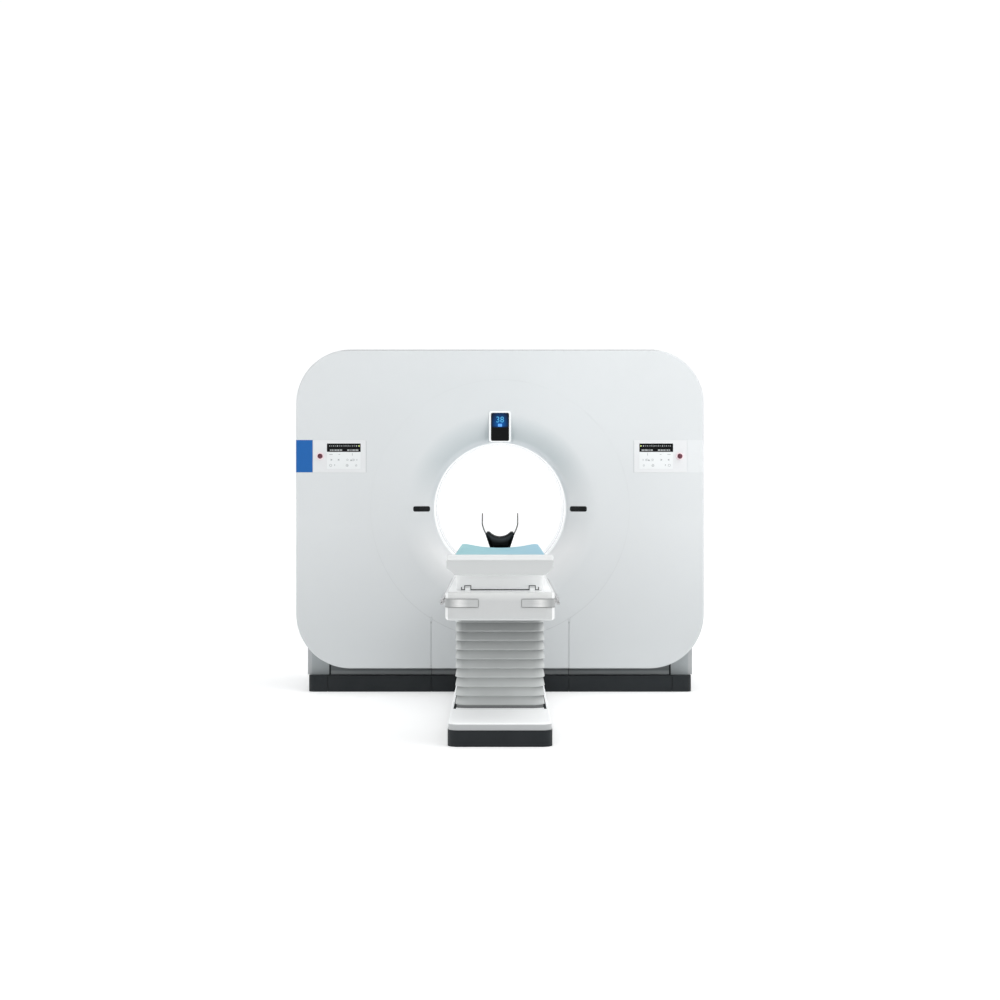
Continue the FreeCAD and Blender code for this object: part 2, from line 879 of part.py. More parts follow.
# ---------------------------------------------------------------------------------------
# Belt drive and fans
# ---------------------------------------------------------------------------------------
def belt_loop(grow, y0, y1):
    """Filled loop round the rotor's rim and the motor's pulley."""
    big = rim_radius + grow
    small = pulley_radius + grow
    to_motor = math.radians(motor_angle)
    spread = math.acos((big - small) / motor_distance)

    def on(cx, cz, radius, angle):
        return (cx + radius * math.cos(angle), cz + radius * math.sin(angle))

    upper = to_motor + spread
    lower = to_motor - spread
    wire = outline(
        "xz", y0, on(0, iso_height, big, upper),
        on(0, iso_height, big, to_motor + math.pi) + on(0, iso_height, big, lower),
        on(motor_x, motor_z, small, lower),
        on(motor_x, motor_z, small, to_motor) + on(motor_x, motor_z, small, upper))
    return prism(wire, "xz", y1 - y0)


def drive_belt():
    """Flat belt from the motor's pulley round the rotor."""
    mid = disc_front + disc_thick / 2
    y0 = mid - belt_width / 2
    y1 = mid + belt_width / 2
    return cut(belt_loop(slide_gap + belt_thick, y0, y1), belt_loop(slide_gap, y0 - 1, y1 + 1))


def motor_axis(y):
    """Point on the motor's axis."""
    return Vector(motor_x, y, motor_z)


def drive_motor():
    """Drive motor, flange-mounted on the stator plate, with a bore for its shaft."""
    start = disc_back + belt_width
    flange = box(motor_x - motor_radius, motor_x + motor_radius, stator_front - floor_plate,
                 stator_front, motor_z - motor_radius, motor_z + motor_radius)
    body = rod(motor_radius, motor_axis(start), along_y, stator_front - start)
    nose = rod(motor_radius / 2, motor_axis(start - belt_width / 4), along_y, belt_width / 4)
    bore = rod(shaft_radius + shaft_gap, motor_axis(start - belt_width), along_y,
               3 * belt_width)
    return cut(fuse([flange, body, nose]), bore)


def motor_pulley():
    """Flanged pulley and motor shaft in one piece."""
    mid = disc_front + disc_thick / 2
    half = belt_width / 2
    drum = rod(pulley_radius, motor_axis(mid - half), along_y, belt_width)
    lip_radius = pulley_radius + 2 * belt_thick
    lip = belt_thick / 2
    shapes = [drum]
    for y in (mid - half - slide_gap - lip, mid + half + slide_gap):
        shapes.append(rod(lip_radius, motor_axis(y), along_y, lip))
    collars = rod(pulley_radius, motor_axis(mid - half - slide_gap), along_y,
                  belt_width + 2 * slide_gap)
    shaft = rod(shaft_radius, motor_axis(mid), along_y, disc_back + 2.5 * belt_width - mid)
    return fuse(shapes + [collars, shaft])


def fan_housing():
    """Left fan's square frame with struts and the fixed pin."""
    low = fan_top - fan_depth
    half = fan_size / 2
    frame = block("xy", low, fan_top, -fan_offset - half, -fan_offset + half, -half, half,
                  fan_size / 12)
    centre = Vector(-fan_offset, 0, low)
    opening = fan_radius + fan_tip_gap
    shapes = [cut(frame, rod(opening, centre - up, up, fan_depth + 2))]
    strut = fan_depth / 8
    for angle in (45, 135):
        arm = box(-opening - strut, opening + strut, -strut, strut, 0, strut)
        shapes.append(arm.rotate(Vector(0, 0, 0), up, angle).translate(centre))
    shapes.append(rod(fan_hub, centre, up, strut))
    shapes.append(rod(fan_pin, centre, up, fan_depth * 0.8))
    return fuse(shapes)


def fan_rotor():
    """Left fan's hub and pitched blades."""
    strut = fan_depth / 8
    low = fan_top - fan_depth + strut + slide_gap
    height = fan_depth * 0.7
    centre = Vector(-fan_offset, 0, low)
    shapes = [rod(fan_hub, centre, up, height)]
    for i in range(fan_blades):
        blade = Part.makeBox(fan_radius - fan_hub / 2, strut / 2, height * 0.9,
                             Vector(fan_hub / 2, -strut / 4, -height * 0.45))
        blade = blade.rotate(Vector(0, 0, 0), Vector(1, 0, 0), 38)
        blade = blade.rotate(Vector(0, 0, 0), up, 360.0 * i / fan_blades)
        shapes.append(blade.translate(centre + up * (height / 2)))
    whole = fuse(shapes).common(rod(fan_radius, centre, up, height))
    return cut(whole, rod(fan_pin + shaft_gap, centre - up, up, height + 2))


# ---------------------------------------------------------------------------------------
# Consoles, labels and emergency stops
# ---------------------------------------------------------------------------------------
def console_plate(grow, y0, y1):
    """Block of the left console's outline."""
    return block("xz", y0, y1, -console_end - grow, -console_end + console_width + grow,
                 console_low - grow, console_high + grow, cover_wall / 2)


def inset_block(top, height, grow, y0, y1):
    """Block of the left screen's or keypad's outline, down from a level."""
    inner = -console_end + console_width - inset_from_edge
    return block("xz", y0, y1, inner - screen_width - grow, inner + grow,
                 top - height - grow, top + grow, 2.0)


def estop_point(y):
    """Point on the left emergency stop's axis."""
    return Vector(-console_end + estop_from_edge, y, (console_low + console_high) / 2)


def console_housing():
    """Left console: a flush plate with a flange behind the cover and seats for its inserts."""
    front = face - console_proud
    back = face + cover_wall
    plate = console_plate(0, front, back)
    plate = round_edges(plate, console_proud * 0.8, lambda c, e: abs(c.y - front) < 1e-3)
    flange = console_plate(cover_wall, back + slide_gap, back + lip_thick)
    root = console_plate(-slide_gap, back, back + slide_gap)
    screen_top = console_high - screen_from_top
    screen = inset_block(screen_top, screen_height, slide_gap, front - 1, front + screen_depth)
    keys = inset_block(screen_top - screen_height, keypad_height, slide_gap, front - 1,
                       front + keypad_depth)
    hole = rod(sleeve_radius + slide_gap, estop_point(front - 1), along_y, 4 * cover_wall)
    return cut(fuse([plate, flange, root]), screen, keys, hole)


def console_screen():
    """Left screen glass, flush in its seat."""
    front = face - console_proud
    top = console_high - screen_from_top
    return inset_block(top, screen_height, 0, front, front + screen_depth)


def console_keypad():
    """Left membrane keypad, a little proud of the console."""
    front = face - console_proud
    top = console_high - screen_from_top - screen_height - slide_gap
    pad = inset_block(top, keypad_height - slide_gap, 0, front - keypad_depth / 3,
                      front + keypad_depth)
    return pad


def estop_collar():
    """Left emergency stop's ring and sleeve."""
    front = face - console_proud
    sleeve_end = face + cover_wall + lip_thick + 2
    outer = fuse([rod(collar_radius, estop_point(front - collar_height), along_y, collar_height),
                  rod(sleeve_radius, estop_point(front), along_y, sleeve_end - front)])
    outer = round_edges(outer, collar_height / 4,
                        lambda c, e: abs(c.y - front + collar_height) < 1e-3)
    return cut(outer, rod(button_stem + shaft_gap, estop_point(front - collar_height - 1),
                          along_y, sleeve_end - front + collar_height + 2))


def estop_button():
    """Left mushroom button on its stem, held by a ring behind the sleeve."""
    front = face - console_proud
    cap_back = front - collar_height - button_travel - 1
    sleeve_end = face + cover_wall + lip_thick + 2
    rise = button_dome * 2 / 3
    ball = (button_radius ** 2 + rise ** 2) / (2 * rise)
    tip = cap_back - button_dome
    cap = rod(button_radius, estop_point(tip), along_y, button_dome)
    cap = cap.common(Part.makeSphere(ball, estop_point(tip + ball)))
    skirt = button_dome / 3
    stem = rod(button_stem, estop_point(cap_back - skirt), along_y,
               sleeve_end + slide_gap + 3 - cap_back + skirt)
    clip = rod(button_stem + 3, estop_point(sleeve_end + slide_gap), along_y, 3)
    return fuse([cap, stem, clip])


def edge_label():
    """Thin plate wrapped round the panel's left edge beside the console."""
    skin = cut(panel_body(-label_thick, -label_thick, cover_rim), panel_body(0, 0, cover_rim + 1))
    zone = box(-half_width - 2, -console_end - 2, face - 2, face + edge_radius + cover_wall,
               console_low, console_high)
    return skin.common(zone)


# ---------------------------------------------------------------------------------------
# Table base, bellows and lift columns
# ---------------------------------------------------------------------------------------
def foot_block(inset, low, high):
    """Table foot's outline, round at the front corners and square at the gantry."""
    side = foot_width / 2 - inset
    front = foot_front + inset
    end = table_end
    radius = foot_radius - inset
    k = radius * (1 - math.sqrt(0.5))
    wire = outline("xy", low, (-side, end), (-side, front + radius),
                   (-side + k, front + k, -side + radius, front), (side - radius, front),
                   (side - k, front + k, side, front + radius), (side, end))
    return prism(wire, "xy", high - low)


def table_plinth():
    """Charcoal skirt round the table's base."""
    return cut(foot_block(0, 0, foot_plinth_height),
               foot_block(foot_wall, -1, foot_plinth_height + 1))


def sloped_top(drop, low):
    """Side view of the base cover: rising from the foot to the bellows, then level."""
    front = foot_front - 1
    wire = outline("yz", -foot_width, (front, low), (table_end + 1, low),
                   (table_end + 1, base_cover_top - drop), (bellows_front, base_cover_top - drop),
                   (front, base_cover_front - drop))
    return prism(wire, "yz", 2 * foot_width)


def table_base_cover():
    """White base cover, open for the bellows."""
    outer = foot_block(base_cover_inset, foot_plinth_height, base_cover_top + 1)
    outer = outer.common(sloped_top(0, 0))
    outer = round_edges(outer, base_cover_edge,
                        lambda c, e: c.z > base_cover_front - 2 and c.y < table_end - 1
                        and not (abs(c.y - bellows_front) < 2 and abs(c.x) < 1))
    inner = foot_block(base_cover_inset + base_cover_wall, 0, base_cover_top)
    inner = inner.common(sloped_top(base_cover_wall, -1))
    return cut(outer, inner, bellows_opening(3.0, 0, base_cover_top + 2))


def bellows_opening(grow, low, high):
    """Rounded block just outside the bellows."""
    half = bellows_width / 2 + grow
    return block("xy", low, high, -half, half, bellows_front - grow, bellows_back + grow,
                 bellows_corner)


def table_base_frame():
    """Steel floor plate with side beams, cross ribs and the bellows' seat."""
    start = foot_front + foot_width / 10
    half = floor_plate_width / 2
    shapes = [box(-half, half, start, table_end, 0, floor_plate)]
    for sign in (-1, 1):
        xs = sorted((sign * half, sign * (half - base_beam_width)))
        shapes.append(box(*xs, start, table_end, floor_plate, base_beam_top))
    reach = foot_width / 2 - foot_wall - slide_gap
    rib = base_beam_width
    for y in (start + rib, bellows_front, table_middle, bellows_back, table_end - 2 * rib):
        shapes.append(box(-reach, reach, y - rib / 2, y + rib / 2, floor_plate, 2 * rib))
    seat_out = bellows_width / 2
    seat = cut(
        block("xy", base_beam_top, bellows_bottom, -seat_out, seat_out, bellows_front,
              bellows_back, bellows_corner),
        block("xy", base_beam_top - 1, bellows_bottom + 1, base_beam_width - seat_out * 1.1,
              seat_out * 1.1 - base_beam_width, bellows_front + 2 * base_beam_width,
              bellows_back - 2 * base_beam_width, bellows_corner / 2))
    shapes.append(seat)
    for y in (bellows_front + base_beam_width, bellows_back - base_beam_width):
        shapes.append(box(-half, half, y - rib / 2, y + rib / 2, floor_plate, base_beam_top))
    drills = []
    for sx in (-1, 1):
        for sy in (-1, 1):
            spot = Vector(sx * table_anchor_across / 2, table_middle + sy * table_anchor_along / 2, -1)
            drills.append(rod(table_anchor_radius, spot, up, 3 * floor_plate))
    return cut(fuse(shapes), *drills)


def pleat_section(turn_radius):
    """Steps of the pleated wall's section: outer lobes as arcs, inner folds as lines."""
    valley = turn_radius - pleat_depth
    steps = [(valley, bellows_bottom)]
    for i in range(pleat_count):
        z = bellows_bottom + i * pleat_pitch
        steps.append((turn_radius, z + pleat_pitch / 2, valley, z + pleat_pitch))
    inner = valley - bellows_wall
    steps.append((inner, bellows_top))
    for i in range(pleat_count - 1, -1, -1):
        z = bellows_bottom + i * pleat_pitch
        steps.append((turn_radius - bellows_wall * 1.3, z + pleat_pitch / 2))
        steps.append((inner, z))
    return steps


def bellows():
    """Pleated skirt round the lift columns: four straight runs and four turned corners."""
    section = outline("xz", 0, *pleat_section(bellows_corner))
    corner = Part.Face(section).revolve(Vector(0, 0, 0), up, 90)
    along = bellows_length - 2 * bellows_corner
    across = bellows_width - 2 * bellows_corner
    half_x = across / 2
    shapes = []
    stations = [(half_x, bellows_back - bellows_corner, across),
                (-half_x, bellows_back - bellows_corner, along),
                (-half_x, bellows_front + bellows_corner, across),
                (half_x, bellows_front + bellows_corner, along)]
    for i, (x, y, run) in enumerate(stations):
        side = Part.Face(section).rotate(Vector(0, 0, 0), up, 90).extrude(Vector(-run, 0, 0))
        piece = [corner.copy(), side]
        for shape in piece:
            shape.rotate(Vector(0, 0, 0), up, 90 * i)
            shape.translate(Vector(x, y, 0))
        shapes += piece
    return fuse(shapes)


def column_tube(inset, low, high, y):
    """Square rounded tube of a lift column."""
    half = column_size / 2 - inset
    radius = column_corner - inset
    outer = block("xy", low, high, -half, half, y - half, y + half, radius)
    half -= column_wall
    inner = block("xy", low - 1, high + 1, -half, half, y - half, y + half, radius - column_wall)
    return cut(outer, inner)


def column_lowest():
    """Floor inside the outer stage."""
    return 2 * floor_plate


def stage_length():
    """Length of the inner stage: what fits under the head plate when the table is down."""
    return bellows_top - lift_down - column_lowest() - stage_gap


def lift_column_outer():
    """Fixed stages of both columns on their flanges."""
    group = []
    for y in column_places:
        half = column_flange / 2
        flange = block("xy", floor_plate, 2 * floor_plate, -half, half, y - half, y + half,
                       column_corner)
        tube = column_tube(0, 2 * floor_plate, column_lowest() + stage_length() - stage_step, y)
        group.append(fuse([flange, tube]))
    return Part.makeCompound(group)


def lift_column_middle():
    """Middle stages, drawn half as far as the table is raised."""
    low = column_lowest() + stage_gap / 2 + lift_down / 2
    inset = column_wall + slide_gap
    return Part.makeCompound([column_tube(inset, low, low + stage_length() - stage_step, y)
                              for y in column_places])


def lift_column_inner():
    """Inner stages, up to the carriage's head plate."""
    low = bellows_top - stage_length()
    inset = 2 * (column_wall + slide_gap)
    half = column_size / 2 - inset
    group = []
    for y in column_places:
        cap = block("xy", bellows_top - column_wall, bellows_top, -half, half, y - half, y + half,
                    column_corner - inset)
        group.append(fuse([column_tube(inset, low, bellows_top, y), cap]))
    return Part.makeCompound(group)


# ---------------------------------------------------------------------------------------
# Carriage
# ---------------------------------------------------------------------------------------
def carriage_block(inset, low, high):
    """Carriage's rounded outline, drawn in by inset."""
    half = carriage_width / 2 - inset
    return block("xy", low, high, -half, half, foot_front + inset, carriage_end - inset,
                 carriage_corner - inset)


def grip_zone():
    """Left front corner that the grip covers."""
    return box(-carriage_width, -grip_front, foot_front - carriage_width,
               foot_front + grip_side, grip_low, grip_high)


def carriage_cover():
    """White carriage cover round the frame, recessed for the grips."""
    outer = carriage_block(0, carriage_low, carriage_high)
    outer = round_edges(outer, carriage_edge, lambda c, e: abs(c.z - carriage_high) < 1e-3)
    outer = round_edges(outer, carriage_round, lambda c, e: abs(c.z - carriage_low) < 1e-3)
    deck_low = carriage_high - deck_thick
    inner_low = carriage_low + carriage_wall
    inner = carriage_block(carriage_wall, inner_low, deck_low)
    inner = round_edges(inner, carriage_round - carriage_wall, lambda c, e: abs(c.z - inner_low) < 1e-3)
    below = carriage_block(carriage_hem, carriage_low - 1, inner_low + 1)
    top = carriage_block(deck_lip, deck_low - 1, carriage_high + 1)
    band = cut(carriage_block(-carriage_width, grip_low - grip_recess_gap, grip_high + grip_recess_gap),
               carriage_block(grip_thick - grip_proud, 0, carriage_high))
    zone = box(-carriage_width, -grip_front + grip_recess_gap, foot_front - carriage_width,
               foot_front + grip_side + grip_recess_gap, 0, carriage_high)
    recess = band.common(zone)
    return cut(outer, inner, below, top, recess, mirrored(recess))


def corner_grip():
    """Left brushed metal grip, bent round the carriage's front corner."""
    band = cut(carriage_block(-grip_proud, grip_low, grip_high),
               carriage_block(grip_thick - grip_proud, grip_low - 1, grip_high + 1))
    grip = band.common(grip_zone())
    ends = (grip_high - grip_low) / 5
    return round_edges(grip, ends, lambda c, e: (
        abs(c.x + grip_front) < 1e-3 and abs(c.z - (grip_low + grip_high) / 2) > 1
        and e.Length < grip_thick + 1) or (
        abs(c.y - foot_front - grip_side) < 1e-3 and abs(c.z - (grip_low + grip_high) / 2) > 1
        and e.Length < grip_thick + 1))


def carriage_deck():
    """White deck plate with the two raised rails for the trolley."""
    shapes = [carriage_block(deck_lip + slide_gap, carriage_high - deck_thick, carriage_high)]
    start = foot_front + trolley_setback / 2
    for x in (-deck_rail_offset, deck_rail_offset):
        shapes.append(box(x - deck_rail_width / 2, x + deck_rail_width / 2, start,
                          carriage_end - trolley_corner, carriage_high,
                          carriage_high + deck_rail_height))
    return fuse(shapes)


def carriage_frame():
    """Inner frame: side beams under the deck, end pans and the head plate on the columns."""
    reach = carriage_width / 2 - carriage_wall - slide_gap
    start = foot_front + carriage_corner
    end = carriage_end - carriage_corner
    deck_low = carriage_high - deck_thick
    low = carriage_low + carriage_round
    pan = low + lip_thick
    shapes = []
    for sign in (-1, 1):
        xs = sorted((sign * reach, sign * (reach - frame_beam)))
        shapes.append(box(*xs, start, end, low, deck_low))
    shapes.append(box(-reach, reach, start, bellows_front - slide_gap, low, pan))
    shapes.append(box(-reach, reach, bellows_back + slide_gap, end, low, pan))
    shapes.append(box(-reach, reach, bellows_front - frame_beam, bellows_back + frame_beam,
                      bellows_top, bellows_top + head_plate))
    for y in (bellows_front - frame_beam, bellows_back + frame_beam - head_plate):
        shapes.append(box(-reach, reach, y, y + head_plate, low, deck_low))
    return fuse(shapes)


def rail_bar(start, end):
    """Left rail's bar: a flat upper part, a narrow neck and a thicker foot."""
    inner = -rail_offset
    low = rail_mid - rail_height / 2
    high = rail_mid + rail_height / 2
    foot = low + rail_foot_height
    neck = foot + rail_neck
    half = rail_foot_height / 2
    wire = outline(
        "xz", start, (inner, high), (inner, low), (inner - rail_foot + half, low),
        (inner - rail_foot, low + half, inner - rail_foot + half, foot),
        (inner - rail_neck, foot), (inner - rail_neck, neck), (inner - rail_thick, neck),
        (inner - rail_thick, high))
    return prism(wire, "xz", end - start)


def accessory_rail():
    """Left equipment rail on its posts."""
    start = foot_front + rail_start
    end = carriage_end - rail_end
    shapes = [rail_bar(start, end)]
    wall = -carriage_width / 2
    first = start + rail_height * 2
    pitch = (end - start - rail_height * 4) / (rail_posts - 1)
    for i in range(rail_posts):
        shapes.append(rod(rail_post_radius, Vector(-rail_offset, first + i * pitch, rail_mid),
                          Vector(1, 0, 0), wall + rail_offset))
    return fuse(shapes)


# ---------------------------------------------------------------------------------------
# Trolley and tabletop
# ---------------------------------------------------------------------------------------
def trolley():
    """Pedestal of the tabletop: a hollow skirt with shoes that run on the deck's rails."""
    start = foot_front + trolley_setback
    end = start + trolley_length
    low = carriage_high + trolley_lift

    def skirt(inset, z0, z1):
        base = trolley_width / 2 - inset
        head = base + trolley_flare
        return Part.makeLoft(
            [rounded("xy", z0, -base, base, start + inset, end - inset, trolley_corner - inset),
             rounded("xy", z1, -head, head, start + inset, end - inset, trolley_corner - inset)],
            True)

    shell = cut(skirt(0, low, pallet_under), skirt(trolley_wall, low - 1, pallet_under - trolley_top))
    notches = []
    shoes = []
    rail_top = carriage_high + deck_rail_height
    for x in (-deck_rail_offset, deck_rail_offset):
        half = deck_rail_width / 2
        notches.append(box(x - half - notch_side, x + half + notch_side, start - 1, end + 1, low - 1,
                           rail_top + notch_side))
        for y in (start + 2 * trolley_wall, end - 2 * trolley_wall - shoe_length):
            shoe = box(x - shoe_width / 2, x + shoe_width / 2, y, y + shoe_length, low,
                       pallet_under - trolley_top / 2)
            slot = box(x - half - slide_gap, x + half + slide_gap, y - 1, y + shoe_length + 1,
                       low - 1, rail_top + slide_gap)
            shoes.append(cut(shoe, slot))
    return fuse([cut(shell, *notches)] + shoes)


def hollow_arc(half, lift):
    """Arc across the pallet's hollow top, raised by lift, as middle and end points."""
    rim_half = pallet_width / 2 - pallet_rim_width
    sag = pallet_rim - pallet_dip
    radius = (rim_half ** 2 + sag ** 2) / (2 * sag)
    centre = pallet_dip + radius
    turn = radius - lift

    def height(x):
        return centre - math.sqrt(turn ** 2 - x ** 2)

    return (half, height(half)), (0, height(0)), (-half, height(half))


def pallet():
    """Hollow-topped carbon tabletop with a slot for the head holder's tongue."""
    half = pallet_width / 2
    flat = pallet_flat / 2
    rim = half - pallet_rim_width
    right, middle, left = hollow_arc(rim, 0)
    soft = pallet_rim_width / 3
    k = soft * (1 - math.sqrt(0.5))
    wire = outline(
        "xz", pallet_front, (-flat, pallet_under), (flat, pallet_under), (half, pallet_bevel_top),
        (half, pallet_rim - soft), (half - k, pallet_rim - k, half - soft, pallet_rim),
        right, middle + left, (-half + soft, pallet_rim),
        (-half + k, pallet_rim - k, -half, pallet_rim - soft), (-half, pallet_bevel_top))
    body = prism(wire, "xz", pallet_back - pallet_front)
    slot = tongue(slide_gap, 1)
    return cut(body, slot)


def pallet_end_cap():
    """Foot-end moulding of the tabletop: a bevelled block under a rounded lip."""
    half = cap_width / 2
    flat = pallet_flat / 2
    wire = outline("xz", foot_front + cap_recess, (-flat, pallet_under - cap_recess / 2),
                   (flat, pallet_under - cap_recess / 2), (half, pallet_bevel_top - cap_recess / 2),
                   (half, cap_lip_low + 1), (-half, cap_lip_low + 1),
                   (-half, pallet_bevel_top - cap_recess / 2))
    lower = prism(wire, "xz", cap_thick - cap_recess)
    lower = round_edges(lower, cap_recess, lambda c, e: abs(c.y - foot_front - cap_recess) < 1e-3
                        and c.z < cap_lip_low)
    lip = block("xz", foot_front, pallet_front, -half, half, cap_lip_low, cap_lip_high,
                cap_lip_round)
    lip = round_edges(lip, cap_lip_round * 0.7, lambda c, e: abs(c.y - foot_front) < 1e-3)
    return fuse([lower, lip])


def mattress():
    """Thin pad in the pallet's hollow, with drawn-in sides and rounded ends."""
    half = mattress_width / 2
    low_right, low_mid, low_left = hollow_arc(half - mattress_edge, slide_gap)
    top_right, top_mid, top_left = hollow_arc(half - mattress_edge, mattress_thick)
    bulge = (low_right[1] + top_right[1]) / 2
    wire = outline("xz", 0, low_left, low_mid + low_right, (half, bulge) + top_right,
                   top_mid + top_left, (-half, bulge) + low_left)
    start = pallet_front + mattress_margin / 4
    end = pallet_back - mattress_margin
    body = Part.Face(wire).extrude(Vector(0, end - start, 0)).translate(Vector(0, start, 0))
    return round_edges(body, mattress_edge, lambda c, e: e.Length > mattress_width / 2
                       and abs(c.x) < 1 and c.z > pallet_dip + mattress_thick / 2)


def holder_profile(inset, top):
    """Half outline of the head holder from the middle of its floor up to a level."""
    half = holder_half - inset
    bend = ((holder_knee + holder_half) / 2 + holder_bulge - inset,
            (holder_knee_height + holder_shoulder) / 2)
    return [(holder_floor - inset, holder_low + inset), (holder_knee - inset, holder_knee_height),
            bend + (half, holder_shoulder), (half, top)]


def u_wire(inset, top, y):
    """Closed U-shaped outline of the head holder."""
    right = holder_profile(inset, top)
    left = [(-right[3][0], right[3][1]), (-right[2][2], right[2][3]),
            (-right[2][0], right[2][1], -right[1][0], right[1][1]), (-right[0][0], right[0][1])]
    return outline("xz", y, right[0], *right[1:], *left)


def tongue(grow, extra):
    """Flat bar of the head holder inside the pallet's head end."""
    return box(-tongue_half - grow, tongue_half + grow, pallet_back - tongue_length - grow,
               pallet_back + extra, tongue_low - grow, tongue_low + tongue_thick + grow)


def holder_start():
    """Near end of the head holder's cradle."""
    return pallet_back + 2 * slide_gap


def head_holder():
    """Thin carbon cradle with upright arms, on a tongue that plugs into the pallet."""
    start = holder_start()
    outer = prism(u_wire(0, holder_high, start), "xz", holder_length)
    inner = prism(u_wire(holder_wall, holder_high + 1, start - 1), "xz", holder_length + 2)
    shell = cut(outer, inner)
    shell = shape_arms(shell, start)
    neck = box(-tongue_half, tongue_half, start, start + tongue_length, tongue_low,
               holder_low + holder_wall / 2)
    bar = tongue(0, 2 * slide_gap)
    return fuse([shell, neck, bar])


def shape_arms(shell, start):
    """Cradle with its arms drawn in to a rounded tip."""
    tip = holder_length / 3
    foot = holder_shoulder
    rise = holder_high - foot
    away = start + holder_length
    front = prism(outline("yz", -holder_half - 1, (start - 1, foot), (start + tip * 0.4, foot + rise * 0.5,
                          start + tip, holder_high + 1), (start - 1, holder_high + 1)), "yz",
                  2 * holder_half + 2)
    back = prism(outline("yz", -holder_half - 1, (away + 1, foot), (away + 1, holder_high + 1),
                         (away - tip, holder_high + 1),
                         (away - tip * 0.4, foot + rise * 0.5, away + 1, foot)), "yz",
                 2 * holder_half + 2)
    return cut(shell, front, back)


def head_pad():
    """Black foam pad in the cradle, hollowed for the head."""
    start = holder_start() + 2 * holder_wall
    length = holder_length - 4 * holder_wall
    gap = holder_wall + slide_gap
    filled = prism(u_wire(gap, holder_high, start), "xz", length)
    filled = filled.common(box(-holder_half, holder_half, start, start + length, 0, pad_horn))
    sag = pad_horn - pad_dip
    radius = (pad_horn_half ** 2 + sag ** 2) / (2 * sag)
    hollow = rod(radius, Vector(0, start - 1, pad_dip + radius), along_y, length + 2)
    crest = pad_horn_half + 2 * pad_horn_round
    flank = prism(outline("xz", start - 1, (crest, pad_horn), (crest, pad_horn + 1),
                          (holder_half, pad_horn + 1), (holder_half, pad_horn - pad_flank),
                          (crest + pad_flank / 3, pad_horn - pad_flank)), "xz", length + 2)
    pad = cut(filled, hollow, flank, mirrored(flank))
    return round_edges(pad, pad_horn_round * 0.8, lambda c, e: abs(c.z - pad_horn) < 1e-3
                       and e.Length > length / 2)


# ---------------------------------------------------------------------------------------
# All nodes
# ---------------------------------------------------------------------------------------
def build():
    """Every node by name."""
    shell = white_shell()
    body = grey_body()
    skirt = plinth_ring()
    corner = plinth_half - plinth_corner
    left_side = side_cover(body)
    left_skirt = plinth_side(skirt)
    left_front = plinth_front_piece(skirt, -corner, -service_half_width)
    left_fan = fan_housing()
    left_rotor = fan_rotor()
    left_button = estop_button()
    left_label = edge_label()
    return {
        "base_frame": base_frame(),
        "stator_frame": stator_frame(),
        "main_bearing": main_bearing(),
        "plinth_center": plinth_front_piece(skirt, -service_half_width, service_half_width),
        "plinth_front_left": left_front,
        "plinth_front_right": mirrored(left_front),
        "plinth_side_left": left_skirt,
        "plinth_side_right": mirrored(left_skirt),
        "side_cover_left": left_side,
        "side_cover_right": mirrored(left_side),
        "top_cover": top_cover(body),
        "front_cover": front_cover(shell),
        "front_ring_cover": front_ring_cover(),
        "service_panel": service_panel(shell),
        "rear_cover": rear_cover(shell),
        "rear_ring_cover": rear_ring_cover(),
        "bore_liner": bore_liner(),
        "scan_window": scan_window(),
        "console_housings": both(console_housing()),
        "console_screens": both(console_screen()),
        "console_keypads": both(console_keypad()),
        "estop_collars": both(estop_collar()),
        "estop_button_left": left_button,
        "estop_button_right": mirrored(left_button),
        "label_plate": left_label,
        "blank_plate": mirrored(left_label),
        "gantry_display": gantry_display(),
        "laser_windows": laser_windows(),
        "brush_block": brush_block(),
        "drive_motor": drive_motor(),
        "motor_pulley": motor_pulley(),
        "drive_belt": drive_belt(),
        "rotor_ring": rotor_ring(),
        "slip_ring": slip_ring(),
        "xray_tube": xray_tube(),
        "collimator": collimator(),
        "detector_arc": detector_arc(),
        "hv_generator": mirrored(rotor_box(True)),
        "heat_exchanger": rotor_box(False),
        "fan_housings": both(left_fan),
        "fan_rotor_left": left_rotor,
        "fan_rotor_right": mirrored(left_rotor),
        "table_base_frame": table_base_frame(),
        "table_plinth": table_plinth(),
        "table_base_cover": table_base_cover(),
        "bellows": bellows(),
        "lift_column_outer": lift_column_outer(),
        "lift_column_middle": lift_column_middle(),
        "lift_column_inner": lift_column_inner(),
        "carriage_frame": carriage_frame(),
        "carriage_cover": carriage_cover(),
        "carriage_deck": carriage_deck(),
        "corner_grips": both(corner_grip()),
        "accessory_rails": both(accessory_rail()),
        "trolley": trolley(),
        "pallet": pallet(),
        "pallet_end_cap": pallet_end_cap(),
        "mattress": mattress(),
        "head_holder": head_holder(),
        "head_pad": head_pad(),
    }


def export(nodes):
    """One STEP file for each node."""
    os.makedirs("parts", exist_ok=True)
    for name, shape in nodes.items():
        solids = shape.Solids
        if not solids or not all(s.isValid() for s in solids):
            raise RuntimeError(name + " has no valid solid")
        whole = solids[0] if len(solids) == 1 else Part.makeCompound(solids)
        whole.exportStep("parts/" + name + ".step")
        print(name, len(solids), "solids", round(whole.Volume / 1e6, 3), "litres")


export(build())
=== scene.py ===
import json
import logging
import math
from contextlib import contextmanager
from dataclasses import dataclass
from enum import Enum
from functools import cache
from typing import Callable, Iterator

import bmesh
import bpy
from mathutils import Matrix, Vector

